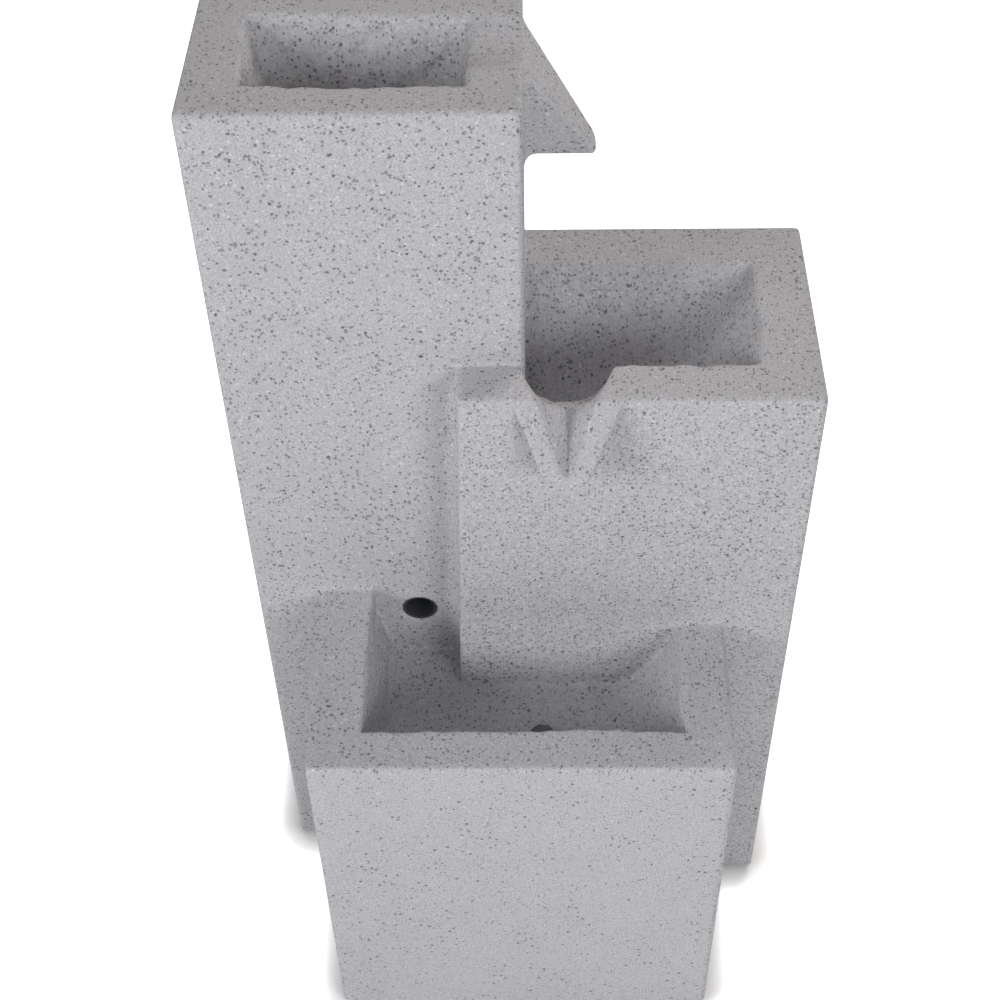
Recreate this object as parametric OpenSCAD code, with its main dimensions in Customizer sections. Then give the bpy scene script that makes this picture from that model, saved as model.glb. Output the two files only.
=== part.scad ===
// Indoor fountain: three cast stone-effect columns that spill from basin to basin, each
// a hollow casting closed by its basin, with a circulating pump, its sump and its
// plumbing inside the tall column.
// Millimetres. X to the right, Y to the back, Z up. The origin is on the ground,
// under the middle of the whole fountain.

/* [Tall column] */
// Width of the tall column
tall_w = 200; // [190:1:230]
// Depth of the tall column, which is also how deep the two rear columns reach
tall_d = 142; // [136:1:170]
// Height of the tall column above the ground
tall_h = 750; // [700:1:850]

/* [Middle column] */
// Width of the middle column beside the tall one
middle_w = 192; // [180:1:220]
// How far its front stands ahead of the tall column's front
middle_reach = 34; // [28:1:40]
// Height of the middle column above the ground
middle_h = 558; // [520:1:600]
// Width of the strip that laps across the tall column, at its top
lap_w = 43; // [36:1:50]
// How much wider that strip is at its foot
lap_lean = 14; // [6:1:20]

/* [Front basin] */
// Width of the front basin
bowl_w = 293; // [280:1:320]
// How far its front stands ahead of the tall column's front
bowl_reach = 161; // [150:1:190]
// Height of its rim above the ground
bowl_h = 336; // [325:1:350]

/* [Castings] */
// Wall thickness of the castings
shell_t = 9; // [8:0.5:11]
// Width of the rims at the sides and the front
rim_w = 31; // [26:1:34]
// Width of the rims at the back
back_rim_w = 38; // [34:1:42]
// Depth of the two upper basins
basin_depth = 75; // [60:1:85]
// Depth of the front basin
bowl_depth = 72; // [62:1:76]
// Radius of the outer corners
edge_r = 4; // [2:0.5:6]
// Radius of the corners inside the basins
basin_r = 14; // [10:1:18]

/* [Spouts] */
// How far the upper spout reaches out of the wall
high_reach = 46; // [38:1:52]
// How far its tip hangs below the rim
high_drop = 79; // [66:1:88]
// Width of the upper spout at the wall
high_spout_w = 54; // [50:1:62]
// Depth of the upper channel below the rim
high_sill = 11; // [8:1:14]
// How far the lower spout reaches out of the wall
low_reach = 28; // [22:1:36]
// How far its tip hangs below the rim
low_drop = 51; // [44:1:60]
// Width of the lower spout at the wall
low_spout_w = 72; // [64:1:78]
// Depth of the lower channel below the rim
low_sill = 15; // [11:1:18]
// Width of the spout tips
tip_w = 26; // [20:1:30]
// Radius of the spout tips
tip_r = 4; // [3:0.5:5]

/* [Overflow and drain] */
// Diameter of the overflow hole
overflow_d = 26; // [22:1:28]
// Height of its centre below the front basin's rim
overflow_drop = 25; // [22:1:30]
// Wall thickness of the overflow elbow
elbow_t = 2; // [1.5:0.5:3]
// Outside diameter of the drain bush
drain_d = 16; // [14:0.5:18]
// Diameter of the drain plug's head
plug_d = 18; // [17:0.5:22]
// Height of the drain plug's head
plug_h = 8; // [6:0.5:10]

/* [Base] */
// Height of the foot pads
foot_h = 3; // [2:0.5:5]
// Diameter of the foot pads
foot_d = 30; // [24:1:36]
// Thickness of the base plate
plate_t = 8; // [6:0.5:10]
// Diameter of the base screws
base_screw_d = 4; // [3.5:0.5:5]

/* [Service door] */
// Width of the opening behind the door
door_w = 120; // [110:1:128]
// Height of the opening behind the door
door_h = 220; // [180:1:240]
// Height of the opening's sill above the ground
door_z = 70; // [60:1:90]
// Width of the ledge that the door seals on
ledge_w = 12; // [11:0.5:14]
// Thickness of the door
door_t = 6; // [5:0.5:7]
// Thickness of the door seal
seal_t = 2; // [1.5:0.5:3]
// Diameter of the door screws
door_screw_d = 5; // [4:0.5:6]

/* [Sump and pump] */
// Height of the sump tub
tub_h = 150; // [130:1:170]
// Wall thickness of the sump tub
tub_t = 3; // [2.5:0.5:4]
// Width of the pump housing
pump_w = 50; // [48:1:54]
// Height of the pump housing
pump_h = 52; // [50:1:56]
// Length of the pump's motor block
motor_l = 54; // [50:1:58]
// Diameter of the rotor magnet
magnet_d = 20; // [18:0.5:22]
// Diameter of the impeller
impeller_d = 31; // [28:0.5:33]
// Diameter of the pump shaft
shaft_d = 3; // [2.5:0.5:4]
// Number of impeller blades
blades = 6; // [5:1:8]

/* [Plumbing] */
// Inside diameter of the riser hose
hose_bore = 12.5; // [11:0.5:13]
// Wall thickness of the riser hose
hose_t = 2.2; // [1.8:0.2:2.6]
// Height over which the riser hose crosses to the inlet
swan_h = 120; // [90:1:150]
// Diameter of the threaded stem of the basin inlet
stem_d = 20; // [18:0.5:22]

/* [Hidden] */
$fn = 64;

// Overrun of cuts, gap between parts that move, gap of glued and screwed parts
over = 1;
gap = 0.3;
fit_gap = 0.1;
run_gap = 0.05;
blend_fn = 32;

// Places of the castings
overall_w = tall_w + middle_w;
overall_d = tall_d + bowl_reach;
x_left = -overall_w / 2;
x_joint = x_left + tall_w;
x_right = overall_w / 2;
y_back = overall_d / 2;
y_tall = y_back - tall_d;
y_mid = y_tall - middle_reach;
y_front = -overall_d / 2;
z_plate = foot_h + plate_t;
tall_x = x_left + tall_w / 2;
tall_floor = tall_h - basin_depth;
middle_floor = middle_h - basin_depth;
bowl_floor = bowl_h - bowl_depth;

// How far each basin's floor draws in from its opening, and the same half way down
slab_t = 0.2;
mid_depth_share = 0.6;
mid_draw_share = 0.4;
end_draw = 22;
front_draw = 5;
back_draw = 34;
front_trim = 2;
bowl_draw = 12;
bowl_rim_w = 35;

// Channels and spouts
high_y_inset = 28;
high_y = y_back - back_rim_w - high_y_inset;
high_half = 22;
high_flare = 6;
low_x_inset = 26.5;
low_x = x_joint + low_x_inset;
low_half = 17;
low_flare = 8;
channel_foot_share = 0.35;
channel_back_fall = 8;
trough_end_share = 0.82;
trough_lift = 4;
trough_end_half = 5;
spout_root = 6;

// Seams where each basin casting sits on the hollow casting under it
tall_ceiling = tall_floor - shell_t;
tall_seam = min(tall_ceiling, tall_h - high_drop - over);
middle_seam = middle_floor - shell_t;
bowl_seam = bowl_floor - shell_t;

// Base, bosses and pads
plate_inset = 6;
plate_gap = 0.5;
boss_d = 17;
boss_h = 30;
boss_inset = boss_d / 2 - over;
base_screw_l = 24;
screw_head_d = base_screw_d * 2;
screw_head_h = base_screw_d / 2;
foot_inset = 34;

// Service door
frame_w = 10;
door_recess = 4;
ledge_t = 8;
screw_head = 3.5;
insert_wall = 1;
thumb_space = 1;
door_depth = door_t + seal_t + gap + door_recess;
frame_t = door_depth + ledge_t;
thumb_d = ledge_w - thumb_space;
door_cx = tall_x;
door_cz = door_z + door_h / 2;
door_side = door_w / 2 + ledge_w;
door_top = door_h / 2 + ledge_w;
screw_x = door_w / 2 + ledge_w / 2;
screw_z = door_h / 2 + ledge_w / 2;
door_y = y_back - door_depth;
door_r = 5;

// Cable grommet in the back wall
cable_d = 7;
grommet_d = 14;
grommet_lip = 2;
grommet_flange_d = 20;
grommet_x = door_cx + door_w / 3;
grommet_z = z_plate + grommet_flange_d;

// Sump tub and pump
tub_r = 8;
tub_space = 4;
tub_side_space = 19;
tub_l = tall_w - 2 * shell_t - 2 * tub_side_space;
tub_w = tall_d - shell_t - frame_t - 2 * tub_space;
tub_y = y_tall + shell_t + tub_space + tub_w / 2;
foot_rise = 5;
suction_d = 15;
suction_neck_d = 10;
foot_near_share = 0.18;
foot_side_share = 0.32;
pump_y = tub_y;
pump_z = z_plate + tub_t + foot_rise + pump_h / 2;
volute_l = 16;
volute_x = tall_x - volute_l / 2;
motor_x = volute_x - motor_l;
volute_face = volute_x + volute_l;
strainer_l = 24;
pump_r = 6;
rotor_gap = 1;
motor_end_t = 9;
rotor_depth = motor_l - motor_end_t;
chamber_l = 11;
impeller_gap = 2;
chamber_d = impeller_d + 2 * impeller_gap;
hub_gap = 1.5;
hub_d = 9;
hub_x = volute_x + hub_gap;
blade_l = 7;
blade_t = 1.6;
bush_l = 5;
bush_d = 8;
shaft_x = volute_x - rotor_depth - bush_l + 2 * over;
intake_d = 22;
spider_t = 2.5;
strainer_t = 2;
slot_w = 3;
slots = 6;
gland_d = 14;
nozzle_d = 14;
nozzle_bore = 10;
nozzle_l = 12;
nozzle_top = pump_z + pump_h / 2 + nozzle_l;

// Valve on the pump's outlet
valve_d = 20;
valve_h = 34;
valve_bore = 8;
valve_socket_l = 8;
plug_cock_d = 13;
cock_share = 0.62;
valve_foot = nozzle_top - valve_socket_l;
valve_top = valve_foot + valve_h;
valve_z = valve_foot + valve_h * cock_share;
barb_l = 16;
knob_d = 20;
knob_t = 8;
knob_stand = 2;
knob_y = pump_y + valve_d / 2 + knob_stand;

// Riser hose and basin inlet
flange_lip = 5;
flange_d = stem_d + 2 * flange_lip;
flange_t = 4;
inlet_space = 2;
inlet_y = y_tall + rim_w - front_trim + front_draw + flange_d / 2 + inlet_space;
hose_d = hose_bore + 2 * hose_t;
hose_sides = 16;
hose_steps = 10;
barb_d = hose_bore * cos(180 / hose_sides) - 2 * run_gap;
hose_foot = valve_top + gap;
hose_shift = pump_y - inlet_y;
swan_foot_share = 0.58;
swan_foot = tall_h * swan_foot_share;
stem_l = 22;
nut_d = 32;
nut_t = 7;
washer_t = 1.5;
stem_foot = tall_ceiling - stem_l;
hose_top = stem_foot - gap;
clip_h = 8;
clip_t = 1.5;
clip_ear = 7;

// Overflow elbow
overflow_x_share = 0.6;
overflow_x = x_left + tall_w * overflow_x_share;
overflow_z = bowl_h - overflow_drop;
elbow_r = 24;
elbow_flange_d = 44;
elbow_flange_t = 3;
elbow_tail = 84;
elbow_y = y_tall + shell_t + elbow_flange_t;
elbow_bore = overflow_d - 2 * elbow_t;
drop_bore = elbow_bore - elbow_t / 2;
spigot_recess = 2;

// Drain
drain_x = 15;
drain_y_inset = 79;
drain_y = y_front + drain_y_inset;
drain_bore = 11;
drain_l = 30;
drain_nut_d = 26;
drain_nut_t = 6;
tube_t = 2;
plug_stem_l = 9;
plug_crown_share = 0.6;

// A rectangle in plan whose corners are round where soft says so, from the corner
// at the smallest x and y and round to the left
module soft_rect(x0, y0, x1, y1, r, soft = [1, 1, 1, 1]) {
    translate([x0 + r, y0]) square([x1 - x0 - 2 * r, y1 - y0]);
    translate([x0, y0 + r]) square([x1 - x0, y1 - y0 - 2 * r]);
    corners = [[x0 + r, y0 + r], [x1 - r, y0 + r], [x1 - r, y1 - r], [x0 + r, y1 - r]];
    outs = [[x0, y0], [x1 - r, y0], [x1 - r, y1 - r], [x0, y1 - r]];
    for (i = [0:3]) {
        if (soft[i] == 1) translate(corners[i]) circle(r);
        else translate(outs[i]) square(r);
    }
}

// One thin level of a basin's hollow, drawn in at its left, front, right and back
module basin_level(box, z, draw) {
    translate([0, 0, z]) linear_extrude(slab_t)
        soft_rect(box[0] + draw[0], box[1] + draw[1], box[2] - draw[2], box[3] - draw[3],
            basin_r);
}

// The hollow of a basin: steep below the rim and flatter towards the floor
module basin_hollow(box, rim, depth, draw) {
    $fn = blend_fn;
    mid_z = rim - depth * mid_depth_share;
    hull() {
        basin_level(box, rim + over, [0, 0, 0, 0]);
        basin_level(box, rim - over, [0, 0, 0, 0]);
        basin_level(box, mid_z, draw * mid_draw_share);
    }
    hull() {
        basin_level(box, mid_z, draw * mid_draw_share);
        basin_level(box, rim - depth, draw);
    }
}

// Upright section of a channel, wide at the rim and narrow at its floor
module channel_section(y, half, depth, top) {
    translate([0, y, 0]) rotate([90, 0, 0]) linear_extrude(slab_t)
        polygon([[-half, top], [half, top], [half, 0],
            [half * channel_foot_share, -depth], [-half * channel_foot_share, -depth],
            [-half, 0]]);
}

// The channel across a rim. It points to the front, with the wall's face at y = 0
module channel(half, flare, sill, rim_depth) {
    hull() {
        channel_section(-over, half, sill, over);
        channel_section(rim_depth + channel_back_fall, half + flare,
            sill + channel_back_fall, over);
    }
}

// The beak of a spout, with the rim at z = 0 and the wall's face at y = 0
module beak(root_w, reach, drop) {
    $fn = blend_fn;
    hull() {
        translate([0, spout_root, 0]) rotate([90, 0, 0]) linear_extrude(spout_root)
            polygon([[-root_w / 2, 0], [root_w / 2, 0], [tip_w / 2, -drop],
                [-tip_w / 2, -drop]]);
        for (side = [-1, 1])
            translate([side * (tip_w / 2 - tip_r), tip_r - reach, tip_r - drop])
                sphere(tip_r);
    }
}

// The trough along the beak, which dies out before the tip
module trough(half, sill, reach, drop) {
    end_y = -reach * trough_end_share;
    end_z = -drop * trough_end_share;
    hull() {
        channel_section(0, half, sill, trough_lift);
        translate([0, 0, end_z])
            channel_section(end_y, trough_end_half, trough_lift / 2, trough_lift);
    }
}

// The strip of the middle column that laps across the tall column's front, and where
// its slanting side is at a height
function lap_x(z) = x_joint - lap_w - lap_lean * (middle_h - z) / (middle_h - foot_h);

module lap(z0, z1) {
    translate([0, y_tall, 0]) rotate([90, 0, 0]) linear_extrude(middle_reach)
        polygon([[lap_x(z0), z0], [x_joint, z0], [x_joint, z1], [lap_x(z1), z1]]);
}

// Outline of the space that the base plate is let into, under the castings
module plate_outline(inset) {
    polygon([[x_left + inset, y_back - inset], [x_left + inset, y_tall + inset],
        [-bowl_w / 2 + inset, y_tall + inset], [-bowl_w / 2 + inset, y_front + inset],
        [bowl_w / 2 - inset, y_front + inset], [bowl_w / 2 - inset, y_mid + inset],
        [x_right - inset, y_mid + inset], [x_right - inset, y_back - inset]]);
}

module plate_space() {
    linear_extrude(z_plate) plate_outline(plate_inset);
}

// Centres of the bosses in the corners of a hollow
function boss_spots(x0, y0, x1, y1) = [[x0 + boss_inset, y0 + boss_inset],
    [x1 - boss_inset, y0 + boss_inset], [x1 - boss_inset, y1 - boss_inset],
    [x0 + boss_inset, y1 - boss_inset]];

tall_bosses = boss_spots(x_left + shell_t, y_tall + shell_t, x_joint - shell_t,
    y_back - shell_t);
middle_bosses = boss_spots(x_joint + shell_t, y_mid + shell_t, x_right - shell_t,
    y_back - shell_t);
bowl_bosses = boss_spots(-bowl_w / 2 + shell_t, y_front + shell_t, bowl_w / 2 - shell_t,
    y_mid - shell_t);
all_bosses = concat(tall_bosses, middle_bosses, bowl_bosses);

module bosses(spots) {
    for (spot = spots)
        translate([spot[0], spot[1], z_plate]) cylinder(d = boss_d, h = boss_h);
}

module boss_holes(spots) {
    for (spot = spots)
        translate([spot[0], spot[1], z_plate - over])
            cylinder(d = base_screw_d + 2 * fit_gap, h = base_screw_l);
}

door_spots = [for (sx = [-1, 1], sz = [-1, 1]) [door_cx + sx * screw_x, door_cz + sz * screw_z]];

// A block around the door's centre, from one y to another
module door_block(half_w, half_h, y0, y1, r) {
    translate([door_cx, y1, door_cz]) rotate([90, 0, 0]) linear_extrude(y1 - y0)
        soft_rect(-half_w, -half_h, half_w, half_h, r);
}

tall_box = [x_left + rim_w, y_tall + rim_w - front_trim, x_joint - rim_w, y_back - back_rim_w];
middle_box = [x_joint - basin_r, y_tall, x_right - back_rim_w, y_back - back_rim_w];
bowl_box = [-bowl_w / 2 + bowl_rim_w, y_front + rim_w, bowl_w / 2 - bowl_rim_w,
    y_tall + basin_r];

// The hollow inside the tall castings
module tall_hollow() {
    translate([0, 0, -over]) linear_extrude(tall_ceiling + over)
        soft_rect(x_left + shell_t, y_tall + shell_t, x_joint - shell_t, y_back - shell_t,
            edge_r);
}

module tall_column() {
    color("#b7b7bc") difference() {
        union() {
            difference() {
                union() {
                    translate([0, 0, foot_h]) linear_extrude(middle_h - foot_h)
                        soft_rect(x_left, y_tall, x_joint, y_back, edge_r, [1, 0, 0, 1]);
                    translate([0, 0, middle_h]) linear_extrude(tall_seam - middle_h)
                        soft_rect(x_left, y_tall, x_joint, y_back, edge_r);
                }
                translate([0, 0, over]) tall_hollow();
            }
            bosses(tall_bosses);
            door_block(door_side + frame_w, door_top + frame_w, y_back - frame_t,
                y_back - over, door_r);
        }
        plate_space();
        boss_holes(tall_bosses);
        door_block(door_side, door_top, door_y, y_back + over, door_r);
        door_block(door_w / 2, door_h / 2, y_back - frame_t - over, y_back, door_r);
        for (spot = door_spots)
            translate([spot[0], door_y + over, spot[1]]) rotate([90, 0, 0])
                cylinder(d = door_screw_d + 2 * insert_wall + 2 * fit_gap,
                    h = frame_t - door_depth + 2 * over);
        translate([overflow_x, y_tall - over, overflow_z]) rotate([-90, 0, 0])
            cylinder(d = overflow_d, h = shell_t + 2 * over);
        translate([grommet_x, y_back - shell_t - over, grommet_z]) rotate([-90, 0, 0])
            cylinder(d = grommet_d + 2 * fit_gap, h = shell_t + 2 * over);
    }
}

module tall_basin() {
    color("#b7b7bc") difference() {
        union() {
            translate([0, 0, tall_seam]) linear_extrude(tall_h - tall_seam)
                soft_rect(x_left, y_tall, x_joint, y_back, edge_r);
            translate([x_joint, high_y, tall_h]) rotate([0, 0, 90])
                beak(high_spout_w, high_reach, high_drop);
        }
        if (tall_seam < tall_ceiling) tall_hollow();
        basin_hollow(tall_box, tall_h, basin_depth, [end_draw, front_draw, end_draw, back_draw]);
        translate([x_joint, high_y, tall_h]) rotate([0, 0, 90]) {
            channel(high_half, high_flare, high_sill, rim_w);
            trough(high_half, high_sill, high_reach, high_drop);
        }
        translate([tall_x, inlet_y, tall_ceiling - over])
            cylinder(d = stem_d + 2 * fit_gap, h = shell_t + 2 * over);
    }
}

module middle_column() {
    color("#b7b7bc") difference() {
        union() {
            difference() {
                union() {
                    translate([0, 0, foot_h]) linear_extrude(middle_seam - foot_h)
                        soft_rect(x_joint, y_mid, x_right, y_back, edge_r, [0, 1, 1, 0]);
                    lap(foot_h, middle_seam);
                }
                translate([0, 0, -over]) linear_extrude(middle_seam + 2 * over)
                    soft_rect(x_joint + shell_t, y_mid + shell_t, x_right - shell_t,
                        y_back - shell_t, edge_r);
            }
            bosses(middle_bosses);
        }
        plate_space();
        boss_holes(middle_bosses);
    }
}

module middle_basin() {
    color("#b7b7bc") difference() {
        union() {
            translate([0, 0, middle_seam]) linear_extrude(middle_h - middle_seam)
                soft_rect(x_joint, y_mid, x_right, y_back, edge_r, [0, 1, 1, 0]);
            lap(middle_seam, middle_h);
            translate([low_x, y_mid, middle_h])
                beak(low_spout_w, low_reach, low_drop);
        }
        basin_hollow(middle_box, middle_h, basin_depth,
            [end_draw + basin_r, front_draw, end_draw, back_draw]);
        translate([low_x, y_mid, middle_h]) {
            channel(low_half, low_flare, low_sill, middle_reach);
            trough(low_half, low_sill, low_reach, low_drop);
        }
    }
}

// A block of the front castings: the basin's own width, and the bay beside the strip
module bowl_block(z0, z1) {
    translate([0, 0, z0]) linear_extrude(z1 - z0) {
        soft_rect(-bowl_w / 2, y_front, bowl_w / 2, y_mid, edge_r, [1, 1, 0, 0]);
        translate([-bowl_w / 2, y_mid - over])
            square([bowl_w / 2 + x_joint - lap_w, middle_reach + over]);
    }
}

module front_plinth() {
    color("#b7b7bc") difference() {
        union() {
            difference() {
                bowl_block(foot_h, bowl_seam);
                translate([0, 0, -over]) linear_extrude(bowl_seam + 2 * over)
                    soft_rect(-bowl_w / 2 + shell_t, y_front + shell_t, bowl_w / 2 - shell_t,
                        y_mid - shell_t, edge_r);
            }
            bosses(bowl_bosses);
        }
        lap(foot_h, middle_h);
        plate_space();
        boss_holes(bowl_bosses);
    }
}

module front_basin() {
    color("#b7b7bc") difference() {
        bowl_block(bowl_seam, bowl_h);
        lap(foot_h, middle_h);
        basin_hollow(bowl_box, bowl_h, bowl_depth,
            [bowl_draw, front_draw, bowl_draw + end_draw, 0]);
        translate([drain_x, drain_y, bowl_seam - over])
            cylinder(d = drain_d + 2 * fit_gap, h = shell_t + 2 * over);
    }
}

module base_plate() {
    color("#6f6f72") difference() {
        translate([0, 0, foot_h]) linear_extrude(plate_t) plate_outline(plate_inset + plate_gap);
        for (spot = all_bosses)
            translate([spot[0], spot[1], foot_h]) {
                translate([0, 0, -over])
                    cylinder(d = base_screw_d + 2 * fit_gap, h = plate_t + 2 * over);
                translate([0, 0, -over])
                    cylinder(d = screw_head_d + 2 * fit_gap, h = screw_head_h + over);
            }
        translate([drain_x, drain_y, foot_h - over])
            cylinder(d = drain_bore + 2 * tube_t + 2 * fit_gap, h = plate_t + 2 * over);
    }
}

module base_screws() {
    color("#9c9a92") for (spot = all_bosses)
        translate([spot[0], spot[1], foot_h]) difference() {
            union() {
                cylinder(d = base_screw_d, h = base_screw_l);
                cylinder(d = screw_head_d, h = screw_head_h);
            }
            translate([0, 0, -over]) cylinder(d = screw_head_h, h = 2 * over, $fn = 6);
        }
}

foot_spots = [[-bowl_w / 2 + foot_inset, y_front + foot_inset],
    [bowl_w / 2 - foot_inset, y_front + foot_inset], [x_left + foot_inset, y_tall + foot_inset],
    [x_left + foot_inset, y_back - foot_inset], [x_joint, y_back - 2 * foot_inset],
    [x_right - foot_inset, y_back - foot_inset], [x_right - foot_inset, y_mid + foot_inset],
    [x_joint - foot_inset, y_tall - foot_inset]];

module foot_pads() {
    color("#2b2b2d") for (spot = foot_spots)
        translate(spot) cylinder(d = foot_d, h = foot_h);
}

module service_door() {
    color("#b7b7bc") difference() {
        door_block(door_side - plate_gap, door_top - plate_gap, door_y + seal_t + gap,
            door_y + seal_t + gap + door_t, door_r);
        for (spot = door_spots)
            translate([spot[0], door_y, spot[1]]) rotate([-90, 0, 0])
                cylinder(d = door_screw_d + 2 * fit_gap, h = door_depth);
    }
}

module door_seal() {
    color("#2b2b2d") difference() {
        door_block(door_side - plate_gap, door_top - plate_gap, door_y + gap,
            door_y + gap + seal_t, door_r);
        door_block(door_w / 2, door_h / 2, door_y - over, door_y + door_depth, door_r);
        for (spot = door_spots)
            translate([spot[0], door_y - over, spot[1]]) rotate([-90, 0, 0])
                cylinder(d = door_screw_d + 2 * fit_gap, h = door_depth);
    }
}

module door_screws() {
    face_y = door_y + gap + seal_t + door_t;
    color("#9c9a92") for (spot = door_spots)
        translate([spot[0], face_y, spot[1]]) {
            rotate([-90, 0, 0]) cylinder(d = thumb_d, h = screw_head);
            rotate([90, 0, 0]) cylinder(d = door_screw_d, h = door_t + seal_t + ledge_w / 2);
        }
}

module door_inserts() {
    color("#b08d3e") for (spot = door_spots)
        translate([spot[0], door_y, spot[1]]) rotate([90, 0, 0]) difference() {
            cylinder(d = door_screw_d + 2 * insert_wall, h = frame_t - door_depth);
            translate([0, 0, -over])
                cylinder(d = door_screw_d + 2 * fit_gap, h = frame_t - door_depth + 2 * over);
        }
}

// The grommet: a sleeve through the back wall with a lip on each side of it
module cable_grommet() {
    color("#2b2b2d") translate([grommet_x, y_back - shell_t, grommet_z]) rotate([-90, 0, 0])
        difference() {
            union() {
                translate([0, 0, -grommet_lip]) cylinder(d = grommet_flange_d, h = grommet_lip);
                cylinder(d = grommet_d, h = shell_t);
            }
            translate([0, 0, -grommet_lip - over])
                cylinder(d = cable_d, h = shell_t + grommet_lip + 2 * over);
        }
}

module sump_tub() {
    color("#3a3c40") translate([tall_x, tub_y, z_plate]) difference() {
        linear_extrude(tub_h)
            soft_rect(-tub_l / 2, -tub_w / 2, tub_l / 2, tub_w / 2, tub_r);
        translate([0, 0, tub_t]) linear_extrude(tub_h)
            soft_rect(tub_t - tub_l / 2, tub_t - tub_w / 2, tub_l / 2 - tub_t,
                tub_w / 2 - tub_t, tub_r - tub_t);
    }
}

foot_grid = [for (along = [foot_near_share, 1 - foot_near_share], sy = [-1, 1])
    [motor_x + motor_l * along, pump_y + sy * pump_w * foot_side_share]];

module pump_housing() {
    color("#232427") difference() {
        union() {
            translate([motor_x, pump_y, pump_z]) rotate([90, 0, 90]) linear_extrude(motor_l)
                soft_rect(-pump_w / 2, -pump_h / 2, pump_w / 2, pump_h / 2, pump_r);
            translate([motor_x, pump_y, pump_z + pump_h / 4]) rotate([0, -90, 0])
                cylinder(d = gland_d, h = cable_d);
        }
        translate([volute_x + over, pump_y, pump_z]) rotate([0, -90, 0])
            cylinder(d = magnet_d + 2 * rotor_gap, h = rotor_depth + over);
        translate([volute_x - rotor_depth + over, pump_y, pump_z]) rotate([0, -90, 0])
            cylinder(d = bush_d + 2 * fit_gap, h = bush_l + over);
        translate([motor_x + cable_d / 2, pump_y, pump_z + pump_h / 4]) rotate([0, -90, 0])
            cylinder(d = cable_d, h = cable_d * 2);
        for (spot = foot_grid)
            translate([spot[0], spot[1], pump_z - pump_h / 2 - over])
                cylinder(d = foot_rise + 2 * fit_gap, h = foot_rise + over);
    }
}

module pump_volute() {
    color("#2c2e32") difference() {
        union() {
            translate([volute_x, pump_y, pump_z]) rotate([90, 0, 90]) linear_extrude(volute_l)
                soft_rect(-pump_w / 2, -pump_h / 2, pump_w / 2, pump_h / 2, pump_r);
            translate([tall_x, pump_y, pump_z]) cylinder(d = nozzle_d, h = nozzle_top - pump_z);
        }
        translate([volute_x - over, pump_y, pump_z]) rotate([0, 90, 0])
            cylinder(d = chamber_d, h = chamber_l + over);
        translate([tall_x, pump_y, pump_z]) cylinder(d = nozzle_bore, h = nozzle_top);
        difference() {
            translate([volute_x, pump_y, pump_z]) rotate([0, 90, 0])
                cylinder(d = intake_d, h = volute_l + over);
            translate([volute_face - bush_l, pump_y, pump_z]) rotate([0, 90, 0])
                cylinder(d = bush_d + 2 * spider_t, h = bush_l);
            for (a = [0:120:240])
                translate([volute_face - bush_l, pump_y, pump_z]) rotate([a, 0, 0])
                    translate([0, -spider_t / 2, 0]) cube([bush_l, spider_t, intake_d]);
        }
        translate([volute_face - bush_l - over, pump_y, pump_z]) rotate([0, 90, 0])
            cylinder(d = bush_d + 2 * fit_gap, h = bush_l + 2 * over);
    }
}

module pump_impeller() {
    color("#d8d8d4") translate([0, pump_y, pump_z]) difference() {
        union() {
            translate([volute_x - rotor_depth + bush_l, 0, 0]) rotate([0, 90, 0])
                cylinder(d = magnet_d, h = rotor_depth - bush_l - over);
            translate([volute_x - 2 * over, 0, 0]) rotate([0, 90, 0])
                cylinder(d = hub_d, h = hub_x + blade_l - volute_x + 2 * over);
            translate([hub_x, 0, 0]) rotate([0, 90, 0]) cylinder(d = impeller_d, h = blade_t);
            for (i = [0:blades - 1])
                translate([hub_x, 0, 0]) rotate([i * 360 / blades, 0, 0])
                    translate([0, -blade_t / 2, 0])
                        cube([blade_l, blade_t, impeller_d / 2 - blade_t / 2]);
        }
        translate([volute_x - rotor_depth, 0, 0]) rotate([0, 90, 0])
            cylinder(d = shaft_d + 2 * run_gap, h = motor_l + volute_l);
    }
}

module pump_shaft() {
    color("#e9e7e0") translate([shaft_x, pump_y, pump_z]) rotate([0, 90, 0])
        cylinder(d = shaft_d, h = volute_face - over - shaft_x);
}

module pump_bushings() {
    color("#2b2b2d") for (x = [volute_x - rotor_depth - bush_l + over, volute_face - bush_l])
        translate([x, pump_y, pump_z]) rotate([0, 90, 0]) difference() {
            cylinder(d = bush_d, h = bush_l);
            translate([0, 0, -over]) cylinder(d = shaft_d + 2 * run_gap, h = bush_l + 2 * over);
        }
}

module filter_sponge() {
    color("#3d4a57") translate([volute_face + gap, pump_y, pump_z]) rotate([90, 0, 90])
        difference() {
            linear_extrude(strainer_l - strainer_t - gap)
                soft_rect(strainer_t - pump_w / 2, strainer_t - pump_h / 2,
                    pump_w / 2 - strainer_t, pump_h / 2 - strainer_t, pump_r - strainer_t);
            translate([0, 0, -over]) cylinder(d = intake_d, h = strainer_l / 2 + over);
        }
}

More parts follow.
